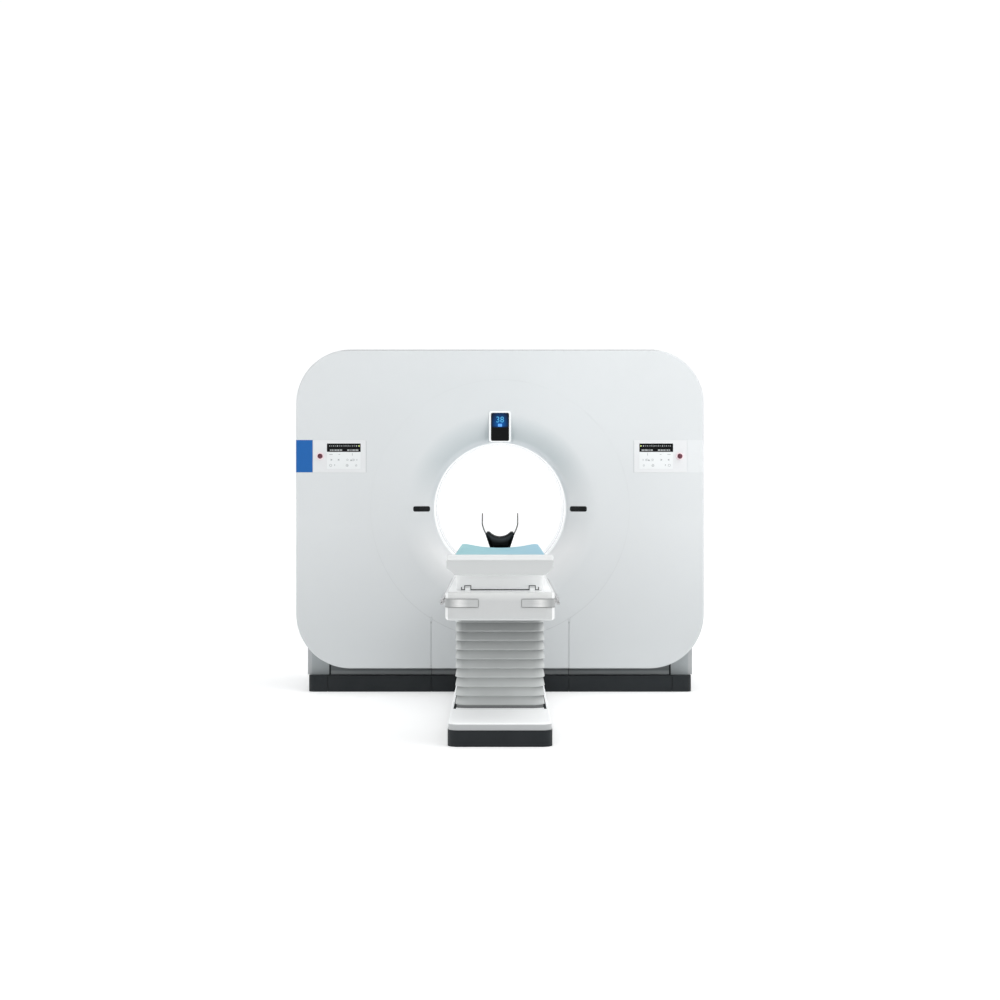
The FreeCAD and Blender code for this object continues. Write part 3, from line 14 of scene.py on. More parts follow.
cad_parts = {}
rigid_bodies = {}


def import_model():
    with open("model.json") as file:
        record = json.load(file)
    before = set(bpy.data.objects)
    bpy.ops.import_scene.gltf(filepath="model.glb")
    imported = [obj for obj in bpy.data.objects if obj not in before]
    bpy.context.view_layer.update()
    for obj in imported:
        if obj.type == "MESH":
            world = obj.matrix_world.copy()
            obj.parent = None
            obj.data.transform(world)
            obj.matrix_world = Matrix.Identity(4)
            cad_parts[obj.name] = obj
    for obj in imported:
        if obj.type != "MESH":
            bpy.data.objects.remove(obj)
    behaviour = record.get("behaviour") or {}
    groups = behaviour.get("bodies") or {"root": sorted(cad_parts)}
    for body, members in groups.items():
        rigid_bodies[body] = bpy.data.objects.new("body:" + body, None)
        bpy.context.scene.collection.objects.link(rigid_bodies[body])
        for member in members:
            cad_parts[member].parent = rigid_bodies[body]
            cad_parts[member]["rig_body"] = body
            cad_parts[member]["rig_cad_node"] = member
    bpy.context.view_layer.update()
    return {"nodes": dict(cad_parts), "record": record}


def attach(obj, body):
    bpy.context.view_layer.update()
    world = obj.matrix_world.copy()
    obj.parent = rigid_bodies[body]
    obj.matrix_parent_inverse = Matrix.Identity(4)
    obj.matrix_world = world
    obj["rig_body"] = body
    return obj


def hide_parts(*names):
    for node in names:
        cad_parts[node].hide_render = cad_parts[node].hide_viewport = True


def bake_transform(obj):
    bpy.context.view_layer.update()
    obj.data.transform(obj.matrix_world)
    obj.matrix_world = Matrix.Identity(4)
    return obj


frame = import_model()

logging.basicConfig(level=logging.INFO, format="%(name)s: %(message)s")
log = logging.getLogger("scanner")

Triple = tuple[float, float, float]
Test = Callable[[Vector], bool]

ISO = 1.100              # rotor axis above the floor
FACE = -0.525            # front face of the gantry
SERVICE_EDGE = 0.414     # seams at the service panel's sides, from the middle plane
PLINTH_CORNER = 1.037    # seam between the plinth's front and its corner pieces
TILT = math.pi / 2       # turn about X that makes a flat shape face the front


# ---------------------------------------------------------------------------
# Modelling helpers
# ---------------------------------------------------------------------------
class Element(Enum):
    """What an edit-mode selection is made of."""

    VERTEX = "VERT"
    EDGE = "EDGE"
    FACE = "FACE"


def select_only(piece: bpy.types.Object) -> None:
    """Make one object the only selected one, and the active one.

    Args:
        piece: The object to select.
    """
    for other in list(bpy.context.selected_objects):
        other.select_set(False)
    piece.select_set(True)
    bpy.context.view_layer.objects.active = piece


@contextmanager
def editing(piece: bpy.types.Object) -> Iterator[None]:
    """Edit mode on one object, starting with nothing selected.

    Args:
        piece: The object to edit.

    Yields:
        Nothing; object mode comes back at the end.
    """
    select_only(piece)
    bpy.ops.object.mode_set(mode="EDIT")
    bpy.ops.mesh.select_all(action="DESELECT")
    try:
        yield
    finally:
        bpy.ops.object.mode_set(mode="OBJECT")


def pick(piece: bpy.types.Object, kind: Element, test: Test) -> int:
    """Select the elements whose middle passes a test.

    Args:
        piece: The object in edit mode.
        kind: Vertices, edges or faces.
        test: Tells from an element's middle, in metres, whether it is wanted.

    Returns:
        How many elements are selected.
    """
    bpy.ops.mesh.select_mode(type=kind.value)
    mesh = bmesh.from_edit_mesh(piece.data)
    for group in (mesh.verts, mesh.edges, mesh.faces):
        for element in group:
            element.select = False
    count = 0
    wanted = {Element.VERTEX: mesh.verts, Element.EDGE: mesh.edges, Element.FACE: mesh.faces}[kind]
    for element in wanted:
        if kind is Element.VERTEX:
            middle = element.co
        elif kind is Element.EDGE:
            middle = (element.verts[0].co + element.verts[1].co) / 2
        else:
            middle = element.calc_center_median()
        if test(middle):
            element.select_set(True)
            count += 1
    mesh.select_flush_mode()
    bmesh.update_edit_mesh(piece.data)
    return count


def settle(piece: bpy.types.Object) -> None:
    """Put an object's place into its mesh, so that the object sits at the origin."""
    select_only(piece)
    bpy.ops.object.transform_apply(location=True, rotation=True, scale=True)


def block(name: str, low: Triple, high: Triple, round_by: float = 0.0, steps: int = 3) -> bpy.types.Object:
    """Block between two corners with rounded edges.

    Args:
        name: The new object's name.
        low: Lowest corner, in metres.
        high: Highest corner, in metres.
        round_by: Width of the bevel round all edges; 0 for none.
        steps: Segments of the bevel.

    Returns:
        The new object, at the origin.
    """
    a, b = Vector(low), Vector(high)
    bpy.ops.mesh.primitive_cube_add(size=1, location=(a + b) / 2)
    piece = bpy.context.object
    piece.name = name
    piece.scale = b - a
    settle(piece)
    if round_by > 0:
        with editing(piece):
            bpy.ops.mesh.select_all(action="SELECT")
            bpy.ops.mesh.bevel(offset=round_by, offset_type="OFFSET", segments=steps, affect="EDGES")
    return piece


def apply_modifier(piece: bpy.types.Object, kind: str, **settings: object) -> None:
    """Add a modifier with its settings and apply it at once.

    Args:
        piece: The object that takes it.
        kind: Blender's name for the kind of modifier.
        settings: The modifier's settings by name.
    """
    select_only(piece)
    modifier = piece.modifiers.new(kind.title(), kind)
    for key, value in settings.items():
        setattr(modifier, key, value)
    bpy.ops.object.modifier_apply(modifier=modifier.name)


def joined(name: str, parts: list[bpy.types.Object]) -> bpy.types.Object:
    """Several objects as one, under a new name.

    Args:
        name: The whole's name.
        parts: The objects, at least one.

    Returns:
        The one object that is left.
    """
    select_only(parts[0])
    for part in parts[1:]:
        part.select_set(True)
    if len(parts) > 1:
        bpy.ops.object.join()
    whole = bpy.context.object
    whole.name = name
    return whole


def carved(piece: bpy.types.Object, cutter: bpy.types.Object) -> bpy.types.Object:
    """A piece with the shape of another taken out of it; the other is used up.

    Args:
        piece: The object that is cut.
        cutter: The object whose shape is taken out.

    Returns:
        The cut piece.
    """
    apply_modifier(piece, "BOOLEAN", operation="DIFFERENCE", object=cutter, solver="EXACT")
    bpy.data.objects.remove(cutter)
    return piece


def rounded_plate(name: str, low: Triple, high: Triple, corner: float, steps: int = 6) -> bpy.types.Object:
    """Block that faces along Y, with its four edges along Y rounded.

    Args:
        name: The new object's name.
        low: Lowest corner, in metres.
        high: Highest corner, in metres.
        corner: Radius of the four rounded edges.
        steps: Segments of each rounded edge.

    Returns:
        The new object, at the origin.
    """
    plate = block(name, low, high)
    middle = (low[1] + high[1]) / 2
    with editing(plate):
        pick(plate, Element.EDGE, lambda c: abs(c.y - middle) < 1e-6)
        bpy.ops.mesh.bevel(offset=corner, offset_type="OFFSET", segments=steps, affect="EDGES")
    return plate


def mirror_copy(piece: bpy.types.Object, name: str) -> bpy.types.Object:
    """Copy of a piece on the other side of the middle plane, with its faces outwards.

    Args:
        piece: The object to copy.
        name: The copy's name.

    Returns:
        The copy, with its own mesh.
    """
    twin = piece.copy()
    twin.data = piece.data.copy()
    twin.name = name
    bpy.context.scene.collection.objects.link(twin)
    twin.data.transform(Matrix.Diagonal((-1, 1, 1, 1)))
    with editing(twin):
        bpy.ops.mesh.select_all(action="SELECT")
        bpy.ops.mesh.flip_normals()
    return twin


def both_sides(left: bpy.types.Object) -> tuple[bpy.types.Object, bpy.types.Object]:
    """A left piece and its right twin, which takes its name from it."""
    return left, mirror_copy(left, left.name.replace("left", "right"))


def smooth(piece: bpy.types.Object, angle: float = 35.0) -> None:
    """Smooth shading with sharp edges kept where faces turn by more than an angle."""
    select_only(piece)
    bpy.ops.object.shade_smooth_by_angle(angle=math.radians(angle))


# ---------------------------------------------------------------------------
# Finishes
# ---------------------------------------------------------------------------
class Grain(Enum):
    """What a surface looks like from near by."""

    MOULDED = "orange peel of a painted or moulded cover"
    TEXTURED = "fine pebbled plastic"
    BRUSHED = "long fine scratches"
    CAST = "coarse painted casting"
    TURNED = "rings round the rotor's axis"
    VINYL = "fine leather grain"
    CLOTH = "coated cloth"
    CARBON = "twill of carbon under lacquer"
    POLISHED = "almost none"


class NodeBench:
    """A material's node tree, with short calls to add and join nodes."""

    MIX_SHARE, MIX_UNDER, MIX_OVER, MIX_RESULT = 0, 6, 7, 2  # a Mix node's sockets for colours

    def __init__(self, name: str) -> None:
        """Start a material that holds one principled shader.

        Args:
            name: The material's name.
        """
        self.material = bpy.data.materials.new(name)
        self.material.use_nodes = True
        self.tree = self.material.node_tree
        self.shader = self.tree.nodes["Principled BSDF"]
        self.place = self.add("ShaderNodeTexCoord").outputs["Object"]

    def add(self, kind: str, **settings: object) -> bpy.types.Node:
        """New node with its settings.

        Args:
            kind: Blender's name for the kind of node.
            settings: The node's settings by name.

        Returns:
            The new node.
        """
        node = self.tree.nodes.new(kind)
        for key, value in settings.items():
            setattr(node, key, value)
        return node

    def join(self, source: bpy.types.NodeSocket, target: bpy.types.NodeSocket) -> None:
        """Link two sockets."""
        self.tree.links.new(source, target)

    def stretched(self, scale: Triple, shift: Triple = (0, 0, 0)) -> bpy.types.NodeSocket:
        """Object coordinates, moved and then scaled along each axis.

        Args:
            scale: Factor along each axis.
            shift: Move along each axis, in metres.

        Returns:
            The new coordinates.
        """
        moved = self.add("ShaderNodeVectorMath", operation="ADD")
        moved.inputs[1].default_value = shift
        self.join(self.place, moved.inputs[0])
        scaled = self.add("ShaderNodeVectorMath", operation="MULTIPLY")
        scaled.inputs[1].default_value = scale
        self.join(moved.outputs[0], scaled.inputs[0])
        return scaled.outputs[0]

    def noise(self, size: float, detail: float = 2.0,
              place: bpy.types.NodeSocket | None = None) -> bpy.types.NodeSocket:
        """Noise whose blobs are about a size across.

        Args:
            size: Width of a blob, in metres.
            detail: How many finer layers lie over it.
            place: The coordinates; the object's own if none are given.

        Returns:
            The noise, from 0 to 1.
        """
        node = self.add("ShaderNodeTexNoise")
        node.inputs["Scale"].default_value = 1.0 / size
        node.inputs["Detail"].default_value = detail
        self.join(place or self.place, node.inputs["Vector"])
        return node.outputs["Fac"]

    def ranged(self, source: bpy.types.NodeSocket, low: float, high: float,
               to_low: float, to_high: float) -> bpy.types.NodeSocket:
        """A value moved from one range to another, and held inside it.

        Args:
            source: The value.
            low: Lower end of its range.
            high: Upper end of its range.
            to_low: What the lower end becomes.
            to_high: What the upper end becomes.

        Returns:
            The moved value.
        """
        node = self.add("ShaderNodeMapRange", clamp=True)
        for key, value in zip(("From Min", "From Max", "To Min", "To Max"), (low, high, to_low, to_high)):
            node.inputs[key].default_value = value
        self.join(source, node.inputs["Value"])
        return node.outputs["Result"]

    def rising(self, source: bpy.types.NodeSocket, start: float, end: float) -> bpy.types.NodeSocket:
        """Share that grows from one value to another, whichever of them is higher.

        Args:
            source: The value.
            start: Where the share is 0.
            end: Where it is 1.

        Returns:
            The share.
        """
        low, high = sorted((start, end))
        first, last = (0, 1) if start < end else (1, 0)
        return self.ranged(source, low, high, first, last)

    def maths(self, how: str, first: bpy.types.NodeSocket,
              second: bpy.types.NodeSocket | float) -> bpy.types.NodeSocket:
        """Result of a sum on one or two values.

        Args:
            how: Blender's name for the sum.
            first: The first value.
            second: The second value, or a number.

        Returns:
            The result.
        """
        node = self.add("ShaderNodeMath", operation=how)
        self.join(first, node.inputs[0])
        if isinstance(second, float):
            node.inputs[1].default_value = second
        else:
            self.join(second, node.inputs[1])
        return node.outputs[0]

    def two_tone(self, source: bpy.types.NodeSocket, first: Triple, second: Triple) -> bpy.types.NodeSocket:
        """Colour that goes from one tone to another as a value goes from 0 to 1.

        Args:
            source: The value.
            first: The tone at 0.
            second: The tone at 1.

        Returns:
            The colour.
        """
        node = self.add("ShaderNodeMix", data_type="RGBA")
        node.inputs[self.MIX_UNDER].default_value = (*first, 1)
        node.inputs[self.MIX_OVER].default_value = (*second, 1)
        self.join(source, node.inputs[self.MIX_SHARE])
        return node.outputs[self.MIX_RESULT]

    def over(self, under: bpy.types.NodeSocket, tone: Triple, share: bpy.types.NodeSocket) -> bpy.types.NodeSocket:
        """A colour with a plain tone laid over it by a share.

        Args:
            under: The colour below.
            tone: The plain tone.
            share: How much of the tone shows, from 0 to 1.

        Returns:
            The colour.
        """
        node = self.add("ShaderNodeMix", data_type="RGBA")
        self.join(under, node.inputs[self.MIX_UNDER])
        node.inputs[self.MIX_OVER].default_value = (*tone, 1)
        self.join(share, node.inputs[self.MIX_SHARE])
        return node.outputs[self.MIX_RESULT]

    def along(self, axis: int) -> bpy.types.NodeSocket:
        """One of the three object coordinates.

        Args:
            axis: 0, 1 or 2 for X, Y or Z.

        Returns:
            The coordinate, in metres.
        """
        node = self.add("ShaderNodeSeparateXYZ")
        self.join(self.place, node.inputs[0])
        return node.outputs[axis]

    def bump(self, height: bpy.types.NodeSocket, depth: float, strength: float = 0.6) -> None:
        """Relief of a height map on the shader's normal.

        Args:
            height: The height map, from 0 to 1.
            depth: How deep the relief is, in metres.
            strength: How much of it shows.
        """
        node = self.add("ShaderNodeBump")
        node.inputs["Strength"].default_value = strength
        node.inputs["Distance"].default_value = depth
        self.join(height, node.inputs["Height"])
        self.join(node.outputs["Normal"], self.shader.inputs["Normal"])


class Span(Enum):
    """What a shade runs along: an axis' number, and whether it starts at the middle plane."""

    ACROSS = (0, False)
    OUTWARDS = (0, True)
    DEEPER = (1, False)
    UPWARDS = (2, False)


@dataclass(frozen=True)
class Shade:
    """A tone that comes over a finish between two places, in metres; mostly painted light or painted shade."""

    span: Span
    start: float
    end: float
    tone: Triple

    def over(self, bench: NodeBench, under: bpy.types.NodeSocket) -> bpy.types.NodeSocket:
        """The colour below with this tone laid over it.

        Args:
            bench: The material's nodes.
            under: The colour below.

        Returns:
            The colour.
        """
        axis, from_middle = self.span.value
        place = bench.along(axis)
        if from_middle:
            place = bench.maths("ABSOLUTE", place, 0.0)
        return bench.over(under, self.tone, bench.rising(place, self.start, self.end))


@dataclass(frozen=True)
class Halo:
    """A tone that comes over a finish round an axis along Y, and fades outwards: a painted shade, highlight or
    sheen.

    It is full inside the inner radius and gone at the outer one, and comes in between
    two heights above the axis.
    """

    inner: float
    outer: float
    start: float
    end: float
    tone: Triple
    axis_height: float = ISO

    def over(self, bench: NodeBench, under: bpy.types.NodeSocket) -> bpy.types.NodeSocket:
        """The colour below with this tone laid over it.

        Args:
            bench: The material's nodes.
            under: The colour below.

        Returns:
            The colour.
        """
        length = bench.add("ShaderNodeVectorMath", operation="LENGTH")
        bench.join(bench.stretched((1, 0, 1), (0, 0, -self.axis_height)), length.inputs[0])
        near = bench.ranged(length.outputs["Value"], self.inner, self.outer, 1, 0)
        height = bench.rising(bench.along(2), self.axis_height + self.start, self.axis_height + self.end)
        return bench.over(under, self.tone, bench.maths("MULTIPLY", near, height))


@dataclass(frozen=True)
class PaintedCreaseShade:
    """Painted shade: a darker tone in a pleated piece's folds, where shade falls, read from the piece's own
    attribute.

    Its strength goes from one share near the middle plane to another at the sides.
    """

    attribute: str
    tone: Triple
    middle: float
    sides: float
    start: float
    end: float

    def over(self, bench: NodeBench, under: bpy.types.NodeSocket) -> bpy.types.NodeSocket:
        """The colour below with this tone laid over it, more so away from the middle plane.

        Args:
            bench: The material's nodes.
            under: The colour below.

        Returns:
            The colour.
        """
        fold = bench.add("ShaderNodeAttribute", attribute_name=self.attribute)
        place = bench.maths("ABSOLUTE", bench.along(0), 0.0)
        reach = bench.ranged(place, self.start, self.end, self.middle, self.sides)
        return bench.over(under, self.tone, bench.maths("MULTIPLY", fold.outputs["Fac"], reach))


@dataclass(frozen=True)
class Finish:
    """Colour, gloss and grain of one of the machine's surfaces, with painted light and shade laid over the colour.
    """

    colour: Triple
    roughness: float
    grain: Grain
    grain_size: float = 0.002
    grain_depth: float = 0.00005
    metallic: float = 0.0
    coat: float = 0.0
    specular: float = 0.5
    # painted glow: emission that brightens a surface that is no lamp, as painted light
    painted_glow: float = 0.0
    # shades: tones laid over the colour, most of them painted light and painted shade
    shades: tuple[Shade | Halo | PaintedCreaseShade, ...] = ()
    drift: float = 0.03
    drift_size: float = 0.7
    brush: Triple = (1.0, 0.02, 1.0)

    def height(self, bench: NodeBench) -> bpy.types.NodeSocket:
        """Height map of the grain.

        Args:
            bench: The material's nodes.

        Returns:
            The map, from 0 to about 1.
        """
        size = self.grain_size
        if self.grain is Grain.BRUSHED:
            return bench.noise(size, 3.0, bench.stretched(self.brush))
        if self.grain is Grain.TURNED:
            rings = bench.add("ShaderNodeTexWave", wave_type="RINGS", rings_direction="Y")
            rings.inputs["Scale"].default_value = 0.3 / size
            rings.inputs["Distortion"].default_value = 0.6
            bench.join(bench.stretched((1, 1, 1), (0, 0, -ISO)), rings.inputs["Vector"])
            return rings.outputs["Fac"]
        if self.grain in (Grain.TEXTURED, Grain.VINYL):
            cells = bench.add("ShaderNodeTexVoronoi", feature="SMOOTH_F1")
            cells.inputs["Scale"].default_value = 1.0 / size
            bench.join(bench.place, cells.inputs["Vector"])
            return bench.maths("ADD", cells.outputs["Distance"], bench.noise(size * 4, 3.0))
        if self.grain in (Grain.CLOTH, Grain.CARBON):
            return self.weave(bench)
        detail = 6.0 if self.grain is Grain.CAST else 2.0
        return bench.noise(size, detail)

    def weave(self, bench: NodeBench) -> bpy.types.NodeSocket:
        """Height map of crossing threads.

        Args:
            bench: The material's nodes.

        Returns:
            The map, from 0 to 1.
        """
        threads = []
        for direction in ("X", "Z", "Y"):
            wave = bench.add("ShaderNodeTexWave", wave_type="BANDS", bands_direction=direction)
            wave.inputs["Scale"].default_value = 0.3 / self.grain_size
            bench.join(bench.place, wave.inputs["Vector"])
            threads.append(wave.outputs["Fac"])
        crossed = bench.maths("MAXIMUM", threads[0], threads[1])
        return bench.maths("MULTIPLY", crossed, bench.ranged(threads[2], 0, 1, 0.6, 1))

    def material(self, name: str) -> bpy.types.Material:
        """Procedural material of this finish.

        Args:
            name: The material's name.

        Returns:
            The new material.
        """
        bench = NodeBench(name)
        shader = bench.shader
        shader.inputs["Metallic"].default_value = self.metallic
        shader.inputs["Coat Weight"].default_value = self.coat
        shader.inputs["Coat Roughness"].default_value = 0.12
        shader.inputs["Specular IOR Level"].default_value = self.specular
        drift = bench.ranged(bench.noise(self.drift_size, 3.0), 0.35, 0.65, 0, 1)
        darker = tuple(c * (1 - self.drift) for c in self.colour)
        lighter = tuple(min(1.0, c * (1 + self.drift)) for c in self.colour)
        tone = bench.two_tone(drift, darker, lighter)
        # lay the painted light and shade over the colour
        for shade in self.shades:
            tone = shade.over(bench, tone)
        height = self.height(bench)
        if self.grain is Grain.CARBON:
            threads = tuple(c * 2.6 for c in self.colour)
            tone = bench.over(tone, threads, bench.ranged(height, 0.3, 1, 0, 0.8))
        if self.grain is Grain.BRUSHED:
            scratches = tuple(c * 0.82 for c in self.colour)
            tone = bench.over(tone, scratches, bench.ranged(height, 0.35, 0.65, 0, 0.6))
        bench.join(tone, shader.inputs["Base Color"])
        # painted glow: the surface's own tone given off as light, though it is no lamp
        if self.painted_glow > 0:
            bench.join(tone, shader.inputs["Emission Color"])
            shader.inputs["Emission Strength"].default_value = self.painted_glow
        gloss = bench.noise(0.09, 5.0)
        spread = 0.12 * self.roughness
        bench.join(bench.ranged(gloss, 0.3, 0.7, self.roughness - spread, self.roughness + spread),
                   shader.inputs["Roughness"])
        bench.bump(height, self.grain_depth)
        return bench.material


@dataclass(frozen=True)
class Glow:
    """Lit marks on a screen."""

    colour: Triple
    strength: float

    def material(self, name: str) -> bpy.types.Material:
        """Glowing material, a little uneven like a backlight.

        Args:
            name: The material's name.

        Returns:
            The new material.
        """
        bench = NodeBench(name)
        bench.shader.inputs["Roughness"].default_value = 0.3
        tone = bench.two_tone(bench.noise(0.004, 2.0), tuple(c * 0.8 for c in self.colour), self.colour)
        bench.join(tone, bench.shader.inputs["Base Color"])
        bench.join(tone, bench.shader.inputs["Emission Color"])
        bench.shader.inputs["Emission Strength"].default_value = self.strength
        return bench.material


@dataclass(frozen=True)
class ScreenGlass:
    """Black display glass with a blue glow in its upper half."""

    low: float = ISO + 0.488
    high: float = ISO + 0.570
    half: float = 0.050
    glow: Triple = (0.001, 0.045, 0.17)

    def material(self, name: str) -> bpy.types.Material:
        """Glass that glows from behind, brightest a little above its middle.

        Args:
            name: The material's name.

        Returns:
            The new material.
        """
        bench = NodeBench(name)
        shader = bench.shader
        shader.inputs["Specular IOR Level"].default_value = 0.12
        upward = bench.ranged(bench.along(2), self.low, self.low + 0.012, 0, 1)
        fading = bench.ranged(bench.along(2), self.low + 0.03, self.high, 1, 0.25)
        across = bench.maths("ABSOLUTE", bench.along(0), 0.0)
        sides = bench.ranged(across, self.half * 0.35, self.half, 1, 0.1)
        share = bench.maths("MULTIPLY", bench.maths("MULTIPLY", upward, fading), sides)
        speckle = bench.ranged(bench.noise(0.0009, 1.0), 0.3, 0.7, 0.9, 1.0)
        share = bench.maths("MULTIPLY", share, speckle)
        tone = bench.two_tone(share, (0.002, 0.0025, 0.003), self.glow)
        bench.join(tone, shader.inputs["Base Color"])
        bench.join(bench.two_tone(share, (0, 0, 0), self.glow), shader.inputs["Emission Color"])
        shader.inputs["Emission Strength"].default_value = 1.0
        bench.join(bench.ranged(bench.noise(0.01, 3.0), 0.3, 0.7, 0.08, 0.14), shader.inputs["Roughness"])
        return bench.material


# Painted shade: covers darker towards the floor, standing in for less light low down
PAINTED_LOW_SHADE = Shade(Span.UPWARDS, 1.00, 0.30, (0.625, 0.650, 0.660))

